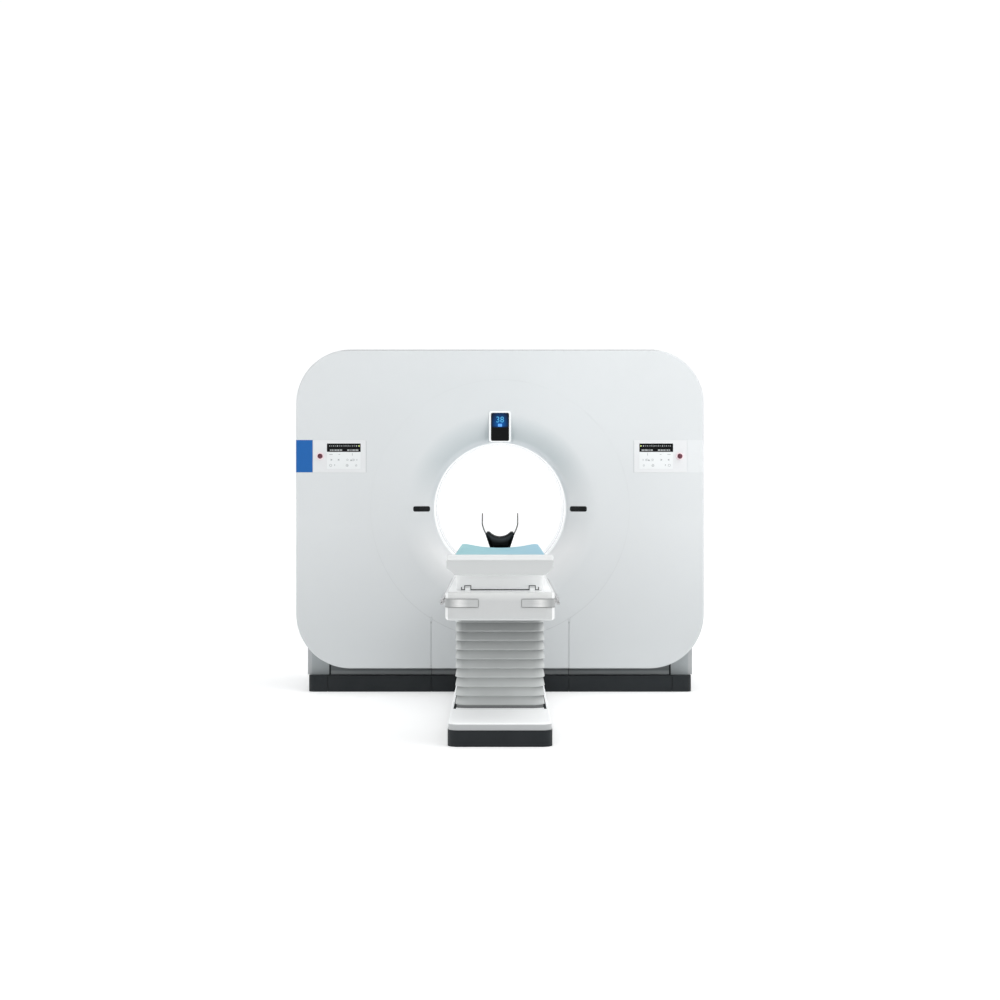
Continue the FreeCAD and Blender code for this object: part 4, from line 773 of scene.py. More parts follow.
FINISHES: dict[str, Finish | Glow | ScreenGlass] = {
    # white covers: painted shade low down, and a painted shade band along the top edge where it rounds over
    "white_cover": Finish((0.720, 0.742, 0.752), 0.42, Grain.MOULDED, 0.0022, 0.00004, coat=0.15, drift=0.012,
                          shades=(PAINTED_LOW_SHADE, Shade(Span.UPWARDS, 2.0480, 2.0530, (0.56, 0.57, 0.575)))),
    # mouth: painted shade low down, painted shade above the mouth where the flare faces down, a darker painted
    # ring at the throat's top, and a painted highlight below the mouth
    "white_mouth": Finish((0.720, 0.742, 0.752), 0.40, Grain.MOULDED, 0.0022, 0.00004, coat=0.15, drift=0.012,
                          shades=(PAINTED_LOW_SHADE, Halo(0.445, 0.575, 0.06, 0.30, (0.555, 0.60, 0.615)),
                                  Halo(0.415, 0.432, 0.00, 0.20, (0.665, 0.70, 0.72)),
                                  Halo(0.470, 0.600, -0.06, -0.25, (0.84, 0.85, 0.855)))),
    # bezel: painted glow that brightens it
    "bezel_white": Finish((0.90, 0.915, 0.92), 0.35, Grain.MOULDED, 0.0012, 0.00003, coat=0.2, drift=0.01,
                          painted_glow=0.05),
    # gasket: painted shade low down, as on the covers
    "gasket_pale": Finish((0.71, 0.73, 0.74), 0.7, Grain.TEXTURED, 0.0012, 0.00003, drift=0.03,
                          shades=(Shade(Span.UPWARDS, 1.00, 0.35, (0.54, 0.56, 0.57)),)),
    # strips: painted shadow on their upper part, under the white panel's bottom edge
    "strip_grey": Finish((0.36, 0.38, 0.39), 0.5, Grain.MOULDED, 0.0022, 0.00006, drift=0.03,
                         shades=(Shade(Span.UPWARDS, 0.112, 0.126, (0.13, 0.145, 0.15)),)),
    "white_table": Finish((0.66, 0.67, 0.67), 0.38, Grain.MOULDED, 0.0018, 0.00004, coat=0.2, drift=0.012),
    # base cover: painted glow all over, and a painted highlight on its top
    "white_base": Finish((0.34, 0.35, 0.355), 0.38, Grain.MOULDED, 0.0018, 0.00004, coat=0.2, drift=0.012,
                         painted_glow=0.32, shades=(Shade(Span.UPWARDS, 0.1030, 0.1100, (0.95, 0.96, 0.965)),)),
    # carriage: painted light at the top and painted shade lower down; the lighter sides are a painted highlight on
    # the rounded edges, which also reads as whiter side covers
    "white_carriage": Finish((0.60, 0.61, 0.61), 0.38, Grain.MOULDED, 0.0018, 0.00004, coat=0.2, drift=0.012,
                             shades=(Shade(Span.UPWARDS, 0.690, 0.733, (0.78, 0.79, 0.78)),
                                     Shade(Span.UPWARDS, 0.640, 0.605, (0.60, 0.615, 0.615)),
                                     Shade(Span.OUTWARDS, 0.2465, 0.2480, (0.92, 0.93, 0.93)))),
    # end cap: painted highlight on its rounded top edge
    "white_cap": Finish((0.63, 0.645, 0.645), 0.36, Grain.MOULDED, 0.0018, 0.00003, coat=0.3, drift=0.012,
                        shades=(Shade(Span.UPWARDS, 0.8840, 0.8885, (0.84, 0.85, 0.85)),)),
    # trolley: painted glow that brightens it under the pallet's overhang
    "white_trolley": Finish((0.86, 0.87, 0.87), 0.45, Grain.MOULDED, 0.0018, 0.00004, drift=0.012, painted_glow=0.08),
    # grey covers: painted highlight on the turned-in outer edge
    "grey_cover": Finish((0.375, 0.405, 0.415), 0.48, Grain.MOULDED, 0.0022, 0.00006, drift=0.03,
                         shades=(Shade(Span.OUTWARDS, 1.136, 1.141, (0.46, 0.475, 0.485)),)),
    "charcoal": Finish((0.009, 0.0125, 0.015), 0.55, Grain.TEXTURED, 0.0016, 0.00012, specular=0.3, drift=0.08),
    "seam_dark": Finish((0.030, 0.034, 0.036), 0.8, Grain.TEXTURED, 0.0012, 0.00005, specular=0.1, drift=0.1),
    "steel_frame": Finish((0.05, 0.053, 0.056), 0.55, Grain.MOULDED, 0.0012, 0.0001, drift=0.12),
    "cast_plate": Finish((0.16, 0.17, 0.175), 0.6, Grain.CAST, 0.006, 0.0004, drift=0.10),
    "race_steel": Finish((0.55, 0.55, 0.53), 0.28, Grain.TURNED, 0.002, 0.00003, metallic=1.0),
    "rotor_cast": Finish((0.52, 0.53, 0.54), 0.42, Grain.TURNED, 0.004, 0.00005, metallic=0.9),
    "unit_grey": Finish((0.28, 0.30, 0.32), 0.5, Grain.MOULDED, 0.0015, 0.0001, drift=0.06),
    "unit_dark": Finish((0.05, 0.055, 0.06), 0.5, Grain.MOULDED, 0.0015, 0.0001, drift=0.10),
    "track_brass": Finish((0.66, 0.47, 0.22), 0.3, Grain.TURNED, 0.002, 0.00003, metallic=1.0),
    # bore lining: painted glow that brightens it
    "liner_white": Finish((0.90, 0.91, 0.92), 0.35, Grain.MOULDED, 0.002, 0.00003, coat=0.2, drift=0.015,
                          painted_glow=0.15),
    "window_film": Finish((0.66, 0.70, 0.73), 0.22, Grain.POLISHED, 0.01, 0.00002, coat=0.5, drift=0.03),
    "console_body": Finish((0.79, 0.80, 0.81), 0.36, Grain.MOULDED, 0.0012, 0.00004, coat=0.2, drift=0.01),
    "screen_black": Finish((0.003, 0.0035, 0.004), 0.30, Grain.POLISHED, 0.01, 0.00001, specular=0.12, drift=0.2),
    "keypad_white": Finish((0.84, 0.86, 0.865), 0.5, Grain.TEXTURED, 0.0008, 0.00004, drift=0.012),
    # collar: painted glow
    "collar_pale": Finish((0.95, 0.77, 0.81), 0.35, Grain.MOULDED, 0.001, 0.00003, coat=0.3, drift=0.02, painted_glow=0.08),
    "signal_red": Finish((0.11, 0.010, 0.028), 0.35, Grain.MOULDED, 0.001, 0.00003, coat=0.2, drift=0.06),
    "label_blue": Finish((0.012, 0.125, 0.42), 0.35, Grain.MOULDED, 0.001, 0.00002, specular=0.2, drift=0.03),
    "label_white": Finish((0.77, 0.79, 0.80), 0.36, Grain.MOULDED, 0.001, 0.00002, coat=0.3, drift=0.01),
    "laser_glass": Finish((0.006, 0.007, 0.008), 0.25, Grain.POLISHED, 0.01, 0.00001, specular=0.2, drift=0.2),
    "belt_rubber": Finish((0.015, 0.015, 0.015), 0.7, Grain.TEXTURED, 0.002, 0.0002, drift=0.15),
    "fan_black": Finish((0.015, 0.015, 0.017), 0.45, Grain.MOULDED, 0.001, 0.00006, drift=0.15),
    # bellows: painted shadow of the carriage on the upper part, painted highlight at the sides, painted shade in
    # the creases, and a painted shadow along the foot
    "bellows_grey": Finish((0.57, 0.59, 0.585), 0.62, Grain.CLOTH, 0.0022, 0.00015, drift=0.05, drift_size=0.25,
                           shades=(Shade(Span.UPWARDS, 0.22, 0.60, (0.28, 0.292, 0.292)),
                                   Shade(Span.OUTWARDS, 0.190, 0.217, (0.62, 0.64, 0.635)),
                                   PaintedCreaseShade("fold", (0.20, 0.21, 0.21), 0.42, 0.78, 0.150, 0.214),
                                   Shade(Span.UPWARDS, 0.1430, 0.1340, (0.22, 0.23, 0.23)))),
    "column_metal": Finish((0.62, 0.63, 0.64), 0.3, Grain.BRUSHED, 0.0006, 0.00003, metallic=1.0,
                           brush=(1.0, 1.0, 0.01)),
    # grips: painted reflection as a bright band and a darker outer end, and painted shade round the edges where
    # they sit in their recess
    "grip_metal": Finish((0.56, 0.57, 0.57), 0.36, Grain.BRUSHED, 0.0009, 0.00006, metallic=0.4,
                         brush=(0.01, 1.0, 1.0), coat=0.1,
                         shades=(Shade(Span.OUTWARDS, 0.150, 0.190, (0.88, 0.88, 0.87)),
                                 Shade(Span.OUTWARDS, 0.196, 0.240, (0.36, 0.37, 0.37)),
                                 Shade(Span.OUTWARDS, 0.1045, 0.1030, (0.20, 0.205, 0.20)),
                                 Shade(Span.UPWARDS, 0.6640, 0.6615, (0.13, 0.135, 0.13)),
                                 Shade(Span.UPWARDS, 0.6975, 0.6995, (0.24, 0.245, 0.24)))),
    "rail_metal": Finish((0.50, 0.50, 0.50), 0.3, Grain.BRUSHED, 0.0006, 0.00004, metallic=1.0,
                         brush=(1.0, 0.01, 1.0)),
    # deck: painted glow that brightens it
    "deck_white": Finish((0.88, 0.89, 0.89), 0.42, Grain.MOULDED, 0.0016, 0.00005, drift=0.015, painted_glow=0.16),
    "tabletop_white": Finish((0.78, 0.79, 0.79), 0.33, Grain.MOULDED, 0.0018, 0.00003, coat=0.3, drift=0.012),
    "pad_cyan": Finish((0.31, 0.615, 0.655), 0.55, Grain.VINYL, 0.0014, 0.00008, drift=0.035, drift_size=0.2,
                       shades=(Shade(Span.ACROSS, -0.22, 0.22, (0.33, 0.60, 0.74)),)),
    "carbon_black": Finish((0.004, 0.0045, 0.005), 0.26, Grain.CARBON, 0.0035, 0.00008, coat=0.15, specular=0.15,
                           drift=0.1),
    # head pad: painted sheen as a lighter ring, with a darker band inside it
    "foam_black": Finish((0.003, 0.0033, 0.0036), 0.5, Grain.VINYL, 0.0013, 0.0001, specular=0.07, drift=0.12,
                         shades=(Halo(0.104, 0.124, -1.0, -0.9, (0.045, 0.048, 0.051), 1.0386),
                                 Halo(0.088, 0.100, -1.0, -0.9, (0.004, 0.0044, 0.005), 1.0386))),
    "print_grey": Finish((0.36, 0.375, 0.385), 0.5, Grain.POLISHED, 0.002, 0.00002, drift=0.05),
    "border_grey": Finish((0.50, 0.52, 0.53), 0.5, Grain.MOULDED, 0.002, 0.00002, drift=0.05),
    "display_glass": ScreenGlass(),
    "digit_cyan": Glow((0.035, 0.24, 0.43), 1.0),
    "bar_blue": Glow((0.065, 0.24, 0.58), 1.0),
    "mark_grey": Glow((0.34, 0.36, 0.36), 0.45),
    "mark_lime": Glow((0.46, 0.56, 0.12), 0.9),
}

LOOKS: dict[str, str] = {
    "carriage_cover": "white_carriage",
    "pallet_end_cap": "white_cap",
    "table_base_cover": "white_base",
    "trolley": "white_trolley",
}


@cache
def finish(name: str) -> bpy.types.Material:
    """Material of a named finish, made once."""
    return FINISHES[name].material(name)


def dress(piece: bpy.types.Object, name: str) -> None:
    """Give a piece one finish all over."""
    piece.data.materials.clear()
    piece.data.materials.append(finish(name))


def mount(piece: bpy.types.Object, body: str, slot: str, look: str = "") -> bpy.types.Object:
    """Finish a new piece: its look, or its slot's finish where it has no look, and the body that it rides on.

    Args:
        piece: The modelled object, at the origin.
        body: The CAD body that carries it.
        slot: The record's material slot.
        look: The finish, where it isn't the slot's own.

    Returns:
        The same object.
    """
    dress(piece, look or slot)
    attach(piece, body)
    log.info("%s on %s, %d faces", piece.name, body, len(piece.data.polygons))
    return piece


# ---------------------------------------------------------------------------
# The gantry's covers
# ---------------------------------------------------------------------------
@dataclass
class LowerStrip:
    """Grey strips that close the base frame between the white panel and the plinth."""

    front: float = -0.430
    back: float = -0.4245
    low: float = 0.0975
    high: float = 0.160
    reach: float = 1.025
    gap: float = 0.003
    end_seam: float = 0.010
    end_depth: float = 0.003
    end_rise: float = 0.060

    def build(self) -> None:
        """Model the three strips and the dark seal in the seam at each end."""
        edges = (-self.reach, -SERVICE_EDGE, SERVICE_EDGE, self.reach)
        for i, side in enumerate(("left", "middle", "right")):
            low = (edges[i] + self.gap / 2, self.front, self.low)
            high = (edges[i + 1] - self.gap / 2, self.back, self.high)
            strip = block("front_strip_" + side, low, high, 0.0012, 2)
            smooth(strip)
            mount(strip, "gantry", "grey_cover", "strip_grey")
        seal = block("strip_seal_left", (-self.reach - self.end_seam, self.front + self.end_depth, self.low),
                     (-self.reach + self.gap, self.back, self.high + self.end_rise), 0.0004, 1)
        for piece in both_sides(seal):
            mount(piece, "gantry", "belt_rubber", "seam_dark")


@dataclass
class PlinthSeals:
    """Dark strips behind the seams of the gantry's plinth."""

    front: float = -0.500
    wall: float = 0.010
    thickness: float = 0.003
    sunk: float = 0.001
    half: float = 0.012
    low: float = 0.002
    high: float = 0.090
    seams: tuple[float, ...] = (-PLINTH_CORNER, -SERVICE_EDGE, SERVICE_EDGE, PLINTH_CORNER)

    def build(self) -> None:
        """Model the four front strips and the one at the back."""
        inner = self.front + self.wall
        places = [(x, inner - self.sunk, inner + self.thickness) for x in self.seams]
        places.append((0.0, -inner - self.thickness, -inner + self.sunk))
        for i, (x, front, back) in enumerate(places):
            seal = block(f"plinth_seal_{i + 1}", (x - self.half, front, self.low),
                         (x + self.half, back, self.high), 0.0006, 1)
            mount(seal, "gantry", "belt_rubber", "seam_dark")


@dataclass
class SeamGasket:
    """Pale ring that lies in the round seam between the centre cover and the panel."""

    radius: float = 0.777
    half: float = 0.00145
    sunk: float = 0.0003
    depth: float = 0.006
    steps: int = 256

    def build(self) -> None:
        """Turn a small section about the rotor's axis."""
        bpy.ops.mesh.primitive_plane_add(size=1)
        ring = bpy.context.object
        ring.name = "seam_gasket"
        ring.scale = (self.half * 2, self.depth, 1)
        ring.location = (self.radius, FACE + self.sunk + self.depth / 2, ISO)
        settle(ring)
        with editing(ring):
            bpy.ops.mesh.select_all(action="SELECT")
            bpy.ops.mesh.delete(type="ONLY_FACE")
            bpy.ops.mesh.select_all(action="SELECT")
            bpy.ops.mesh.spin(steps=self.steps, angle=math.tau, center=(0, 0, ISO), axis=(0, 1, 0))
            bpy.ops.mesh.select_all(action="SELECT")
            bpy.ops.mesh.remove_doubles(threshold=1e-6)
            bpy.ops.mesh.normals_make_consistent(inside=False)
        smooth(ring)
        mount(ring, "gantry", "white_cover", "gasket_pale")


@dataclass
class SeamCaps:
    """Round caps over the screws at the service panel's upper corners."""

    offset: float = SERVICE_EDGE
    height: float = 0.4405
    radius: float = 0.0085
    proud: float = 0.0028
    root: float = 0.004

    def build(self) -> None:
        """Model one cap with a shallow dish and copy it to the other side."""
        bpy.ops.mesh.primitive_cylinder_add(
            vertices=32, radius=self.radius, depth=self.proud + self.root,
            location=(-self.offset, FACE + self.root / 2 - self.proud / 2, self.height), rotation=(TILT, 0, 0))
        cap = bpy.context.object
        cap.name = "seam_cap_left"
        settle(cap)
        outside = FACE - self.proud * 0.9
        with editing(cap):
            pick(cap, Element.FACE, lambda c: c.y < outside)
            bpy.ops.mesh.inset(thickness=self.radius * 0.28, depth=0)
            bpy.ops.mesh.inset(thickness=self.radius * 0.06, depth=-self.proud * 0.35)
            pick(cap, Element.EDGE, lambda c: c.y < outside
                 and math.hypot(c.x + self.offset, c.z - self.height) > self.radius * 0.95)
            bpy.ops.mesh.bevel(offset=self.proud * 0.35, segments=3, affect="EDGES")
        smooth(cap)
        for piece in both_sides(cap):
            mount(piece, "gantry", "white_cover")


@dataclass
class Display:
    """The panel over the mouth: its bezel, its figures and the bar under them."""

    figures: str = "38"
    glass_front: float = FACE - 0.003
    proud: float = 0.0004
    digits_height: float = 0.037
    digits_middle: float = ISO + 0.535
    bar_low: float = ISO + 0.4945
    bar_high: float = ISO + 0.5115
    bar_half: float = 0.0122
    glass_half: float = 0.0545
    glass_low: float = 0.4085
    glass_high: float = 0.5775
    bezel_width: float = 0.011
    bezel_foot: float = 0.007
    bezel_proud: float = 0.001

    def digits(self) -> bpy.types.Object:
        """The figures as thin raised glyphs.

        Returns:
            One object for both figures.
        """
        bpy.ops.object.text_add(rotation=(TILT, 0, 0))
        text = bpy.context.object
        text.data.body = self.figures
        text.data.align_x = "CENTER"
        text.data.align_y = "CENTER"
        text.data.size = self.digits_height * 1.35
        text.data.extrude = self.proud / 2
        text.data.resolution_u = 4
        select_only(text)
        bpy.ops.object.convert(target="MESH")
        glyphs = bpy.context.object
        glyphs.name = "display_digits"
        glyphs.location = (0, self.glass_front - self.proud / 2, self.digits_middle)
        settle(glyphs)
        return glyphs

    def bezel(self) -> None:
        """White frame with rounded corners round the glass."""
        half, low, high = self.glass_half, ISO + self.glass_low, ISO + self.glass_high
        out = self.bezel_width
        rim = rounded_plate(
            "display_bezel", (-half - out, self.glass_front - self.bezel_proud, low - self.bezel_foot),
            (half + out, self.glass_front + 0.002, high + out), 0.014, 8)
        hole = rounded_plate("bezel_hole", (-half, self.glass_front - 0.01, low),
                             (half, self.glass_front + 0.01, high), 0.010, 8)
        carved(rim, hole)
        smooth(rim)
        mount(rim, "gantry", "white_mouth", "bezel_white")

    def build(self) -> None:
        """Model the bezel, the figures and the bar and put them on the gantry."""
        dress(frame["nodes"]["gantry_display"], "display_glass")
        self.bezel()
        mount(self.digits(), "gantry", "screen_black", "digit_cyan")
        bar = block("display_bar", (-self.bar_half, self.glass_front - self.proud, self.bar_low),
                    (self.bar_half, self.glass_front + 0.0002, self.bar_high), 0.00015, 2)
        mount(bar, "gantry", "screen_black", "bar_blue")


@dataclass
class Console:
    """Marks on one console: the lit rows of its screen and the print of its keypad."""

    front: float = FACE - 0.001
    key_front: float = FACE - 0.0015
    proud: float = 0.0003
    inner: float = 0.835
    outer: float = 1.037
    screen_high: float = 1.4925
    screen_low: float = 1.4425
    row_drop: float = 0.014
    ticks: int = 16
    keys_low: float = 1.3410
    keys_high: float = 1.4395
    ring_line: float = 0.0011
    border_at: float = 0.8035
    border_middle: float = 1.4140
    border_height: float = 0.190

    def mark(self, x: float, z: float, wide: float, tall: float, y: float) -> bpy.types.Object:
        """Small flat mark with softened edges.

        Args:
            x: Distance from the middle plane.
            z: Height above the floor.
            wide: Width.
            tall: Height of the mark itself.
            y: Place of the surface that it lies on.

        Returns:
            The mark, on the left console.
        """
        low = (-x - wide / 2, y - self.proud, z - tall / 2)
        high = (-x + wide / 2, y + 0.0002, z + tall / 2)
        return block("mark", low, high, self.proud * 0.4, 1)

    def screen_rows(self) -> list[bpy.types.Object]:
        """Row of pairs of ticks above, and two groups of short bars below.

        Returns:
            The marks.
        """
        marks = []
        top = self.screen_high - self.row_drop
        pitch = (self.outer - self.inner - 0.030) / (self.ticks - 1)
        for i in range(self.ticks):
            x = self.outer - 0.015 - i * pitch
            tall = 0.0085 if i % 5 == 4 else 0.0055
            marks.append(self.mark(x, top, 0.0032 if i % 2 else 0.0055, tall, self.front))
        low = self.screen_low + 0.011
        for x, widths in ((self.outer - 0.016, (7, 9, 4, 12, 12, 14)),
                          (self.inner + 0.082, (12, 5, 4, 16, 18))):
            for width in widths:
                marks.append(self.mark(x - width / 2000, low, width / 1000, 0.0075, self.front))
                x -= width / 1000 + 0.003
        return marks

    def arrow(self, along: float, down: float, size: float, turn: float) -> bpy.types.Object:
        """Triangular key mark.

        Args:
            along: Share of the keypad's length, from its outer end.
            down: Share of its height, from its top.
            size: Its corners' distance from its middle.
            turn: Its turn about Y.

        Returns:
            The mark.
        """
        x, z = self.key_place(along, down)
        bpy.ops.mesh.primitive_cylinder_add(vertices=3, radius=size, depth=self.proud * 2,
                                            location=(-x, self.key_front, z), rotation=(TILT, turn, 0))
        arrow = bpy.context.object
        settle(arrow)
        return arrow

    def ring(self, along: float, down: float, radius: float) -> bpy.types.Object:
        """Flat raised ring round a key.

        Args:
            along: Share of the keypad's length, from its outer end.
            down: Share of its height, from its top.
            radius: Radius of its middle line.

        Returns:
            The ring.
        """
        x, z = self.key_place(along, down)
        bpy.ops.mesh.primitive_torus_add(major_radius=radius, minor_radius=self.ring_line, major_segments=32,
                                         minor_segments=6)
        ring = bpy.context.object
        ring.scale = (1, 1, self.proud / self.ring_line)
        ring.rotation_euler = (TILT, 0, 0)
        ring.location = (-x, self.key_front, z)
        settle(ring)
        return ring

    def stroke(self, along: float, down: float, wide: float, tall: float) -> bpy.types.Object:
        """Printed bar on the keypad."""
        x, z = self.key_place(along, down)
        return self.mark(x, z, wide, tall, self.key_front)

    def key_place(self, along: float, down: float) -> tuple[float, float]:
        """Distance from the middle plane and height of a spot on the keypad.

        Args:
            along: Share of the keypad's length, from its outer end.
            down: Share of its height, from its top.

        Returns:
            The spot's distance from the middle plane and its height, in metres.
        """
        return (self.outer - along * (self.outer - self.inner),
                self.keys_high - down * (self.keys_high - self.keys_low))

    def key_print(self) -> list[bpy.types.Object]:
        """Arrows, rings and strokes printed on the keypad.

        Returns:
            The marks.
        """
        marks = [self.ring(0.10, 0.79, 0.0070), self.ring(0.59, 0.79, 0.0070), self.ring(0.60, 0.45, 0.0050),
                 self.ring(0.86, 0.79, 0.0045)]
        for along, down, turn in ((0.71, 0.48, 0), (0.12, 0.45, math.pi / 2), (0.34, 0.45, -math.pi / 2)):
            marks.append(self.arrow(along, down, 0.0075, turn))
        for along, down, wide, tall in ((0.22, 0.77, 0.0032, 0.011), (0.765, 0.45, 0.0036, 0.015),
                                        (0.800, 0.45, 0.0030, 0.011), (0.88, 0.45, 0.0034, 0.010),
                                        (0.745, 0.12, 0.0026, 0.014), (0.11, 0.12, 0.020, 0.0026),
                                        (0.36, 0.12, 0.010, 0.0026), (0.59, 0.79, 0.0050, 0.0050)):
            marks.append(self.stroke(along, down, wide, tall))
        return marks

    def build(self) -> None:
        """Model the left console's marks and mirror them to the right."""
        rows = joined("screen_rows_left", self.screen_rows())
        lamp = self.mark(self.inner + 0.011, self.screen_high - self.row_drop, 0.0062, 0.0075, self.front)
        lamp.name = "screen_lamp_left"
        keys = joined("key_print_left", self.key_print())
        smooth(keys)
        border = self.mark(self.border_at, self.border_middle, 0.0022, self.border_height, FACE)
        border.name = "console_border_left"
        for piece, slot, look in ((rows, "screen_black", "mark_grey"), (lamp, "screen_black", "mark_lime"),
                                  (keys, "keypad_white", "print_grey"), (border, "console_body", "border_grey")):
            for side in both_sides(piece):
                mount(side, "gantry", slot, look)


# ---------------------------------------------------------------------------
# The table
# ---------------------------------------------------------------------------
@dataclass
class TrolleySeals:
    """Dark wipers at the trolley's foot, with an arch over each deck rail."""

    front: float = -2.785
    proud: float = 0.0012
    foot: float = 0.7355
    line: float = 0.0036
    rail: float = 0.155
    rail_half: float = 0.0132
    arch_high: float = 0.7585
    reach: float = 0.187
    tick_high: float = 0.7510

    def strip(self, low_x: float, high_x: float, low_z: float, high_z: float) -> bpy.types.Object:
        """Thin strip on the trolley's front face."""
        return block("strip", (low_x, self.front - self.proud, low_z), (high_x, self.front + 0.0008, high_z),
                     0.0004, 1)

    def side(self) -> list[bpy.types.Object]:
        """Arch, outer foot strip and end tick on the right side.

        Returns:
            The five strips.
        """
        low, high = self.rail - self.rail_half, self.rail + self.rail_half
        line = self.line
        return [self.strip(low - line, low, self.foot, self.arch_high),
                self.strip(high, high + line, self.foot, self.arch_high),
                self.strip(low - line, high + line, self.arch_high - line, self.arch_high),
                self.strip(high, self.reach, self.foot, self.foot + line),
                self.strip(self.reach - line, self.reach, self.foot, self.tick_high)]

    def build(self) -> None:
        """Model the middle wiper and the two side sets."""
        inner = self.rail - self.rail_half - self.line / 2
        wiper = self.strip(-inner, inner, self.foot, self.foot + self.line * 1.25)
        wiper.name = "trolley_wiper"
        right = joined("trolley_wiper_right", self.side())
        left = mirror_copy(right, "trolley_wiper_left")
        for piece in (wiper, right, left):
            mount(piece, "tabletop", "belt_rubber", "seam_dark")


@dataclass
class BellowsSeals:
    """Dark seals in the base cover's top along both sides of the bellows."""

    inner: float = 0.2195
    outer: float = 0.2325
    front: float = -2.450
    back: float = -1.150
    low: float = 0.1225
    high: float = 0.1272

    def build(self) -> None:
        """Model the left seal and mirror it."""
        seal = block("bellows_seal_left", (-self.outer, self.front, self.low),
                     (-self.inner, self.back, self.high), 0.0008, 2)
        smooth(seal)
        for piece in both_sides(seal):
            mount(piece, "gantry", "belt_rubber", "seam_dark")


@dataclass
class Bellows:
    """Pleated skirt between the table's base and its carriage, which folds with the lift."""

    width: float = 0.450
    length: float = 1.300
    front: float = -2.425
    bottom: float = 0.092
    pitch: float = 0.046
    pleats: int = 13
    depth: float = 0.009
    corner: float = 0.060
    wall: float = 0.002
    rows: int = 12
    side_cuts: tuple[float, ...] = (0.2, 0.35, 0.5, 0.65, 0.8)
    crease: float = 0.10

    def one_pleat(self) -> bpy.types.Object:
        """One lobe from valley to valley, as an upright band cut into rows.

        Returns:
            The band, before it bulges.
        """
        half_x = self.width / 2 - self.depth
        half_y = self.length / 2 - self.depth
        middle_y = self.front + self.length / 2
        lobe = block("bellows", (-half_x, middle_y - half_y, self.bottom),
                     (half_x, middle_y + half_y, self.bottom + self.pitch))
        with editing(lobe):
            pick(lobe, Element.EDGE, lambda c: abs(c.z - self.bottom - self.pitch / 2) < 1e-4)
            bpy.ops.mesh.bevel(offset=self.corner - self.depth, offset_type="OFFSET", segments=10, affect="EDGES")
            pick(lobe, Element.FACE, lambda c: abs(c.z - self.bottom) < 1e-5
                 or abs(c.z - self.bottom - self.pitch) < 1e-5)
            bpy.ops.mesh.delete(type="FACE")
            for i in range(1, self.rows):
                bpy.ops.mesh.select_all(action="SELECT")
                bpy.ops.mesh.bisect(plane_co=(0, 0, self.bottom + self.pitch * i / self.rows),
                                    plane_no=(0, 0, 1))
            for share in self.side_cuts:
                for flip in (-1, 1):
                    bpy.ops.mesh.select_all(action="SELECT")
                    bpy.ops.mesh.bisect(plane_co=(0, middle_y + flip * (half_y - self.corner) * share, 0),
                                        plane_no=(0, 1, 0))
        return lobe

    def bulge(self, share: float) -> float:
        """How far the cloth stands out at a share of the pleat's height, from 0 to 1."""
        return min(share / self.crease, ((1 - share) / (1 - self.crease)) ** 0.8)

    def fold(self, share: float) -> float:
        """How far into the crease a share of the pleat's height lies, from 0 to 1; it weights the painted crease
        shade.
        """
        return 1.0 if share < 0.01 else max(0.0, (share - 0.40) / 0.60) ** 1.2

    def build(self) -> None:
        """Model one pleat, stack it and thicken the wall, in place of the CAD bellows."""
        lobe = self.one_pleat()
        shares = [min(1.0, max(0.0, (v.co.z - self.bottom) / self.pitch)) for v in lobe.data.vertices]
        # the fold attribute weights the painted shade in the creases
        folds = lobe.data.attributes.new("fold", "FLOAT", "POINT")
        folds.data.foreach_set("value", [self.fold(share) for share in shares])
        group = lobe.vertex_groups.new(name="bulge")
        for i, share in enumerate(shares):
            group.add([i], self.bulge(share), "REPLACE")
        apply_modifier(lobe, "DISPLACE", direction="NORMAL", mid_level=0.0, strength=self.depth,
                       vertex_group="bulge")
        apply_modifier(lobe, "ARRAY", count=self.pleats, use_relative_offset=False, use_constant_offset=True,
                       constant_offset_displace=(0, 0, self.pitch), use_merge_vertices=True,
                       merge_threshold=0.0003)
        apply_modifier(lobe, "SOLIDIFY", thickness=self.wall, offset=-1.0)
        smooth(lobe, 50)
        dress(lobe, "bellows_grey")
        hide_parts("bellows")
        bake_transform(lobe)
        log.info("bellows, %d faces", len(lobe.data.polygons))


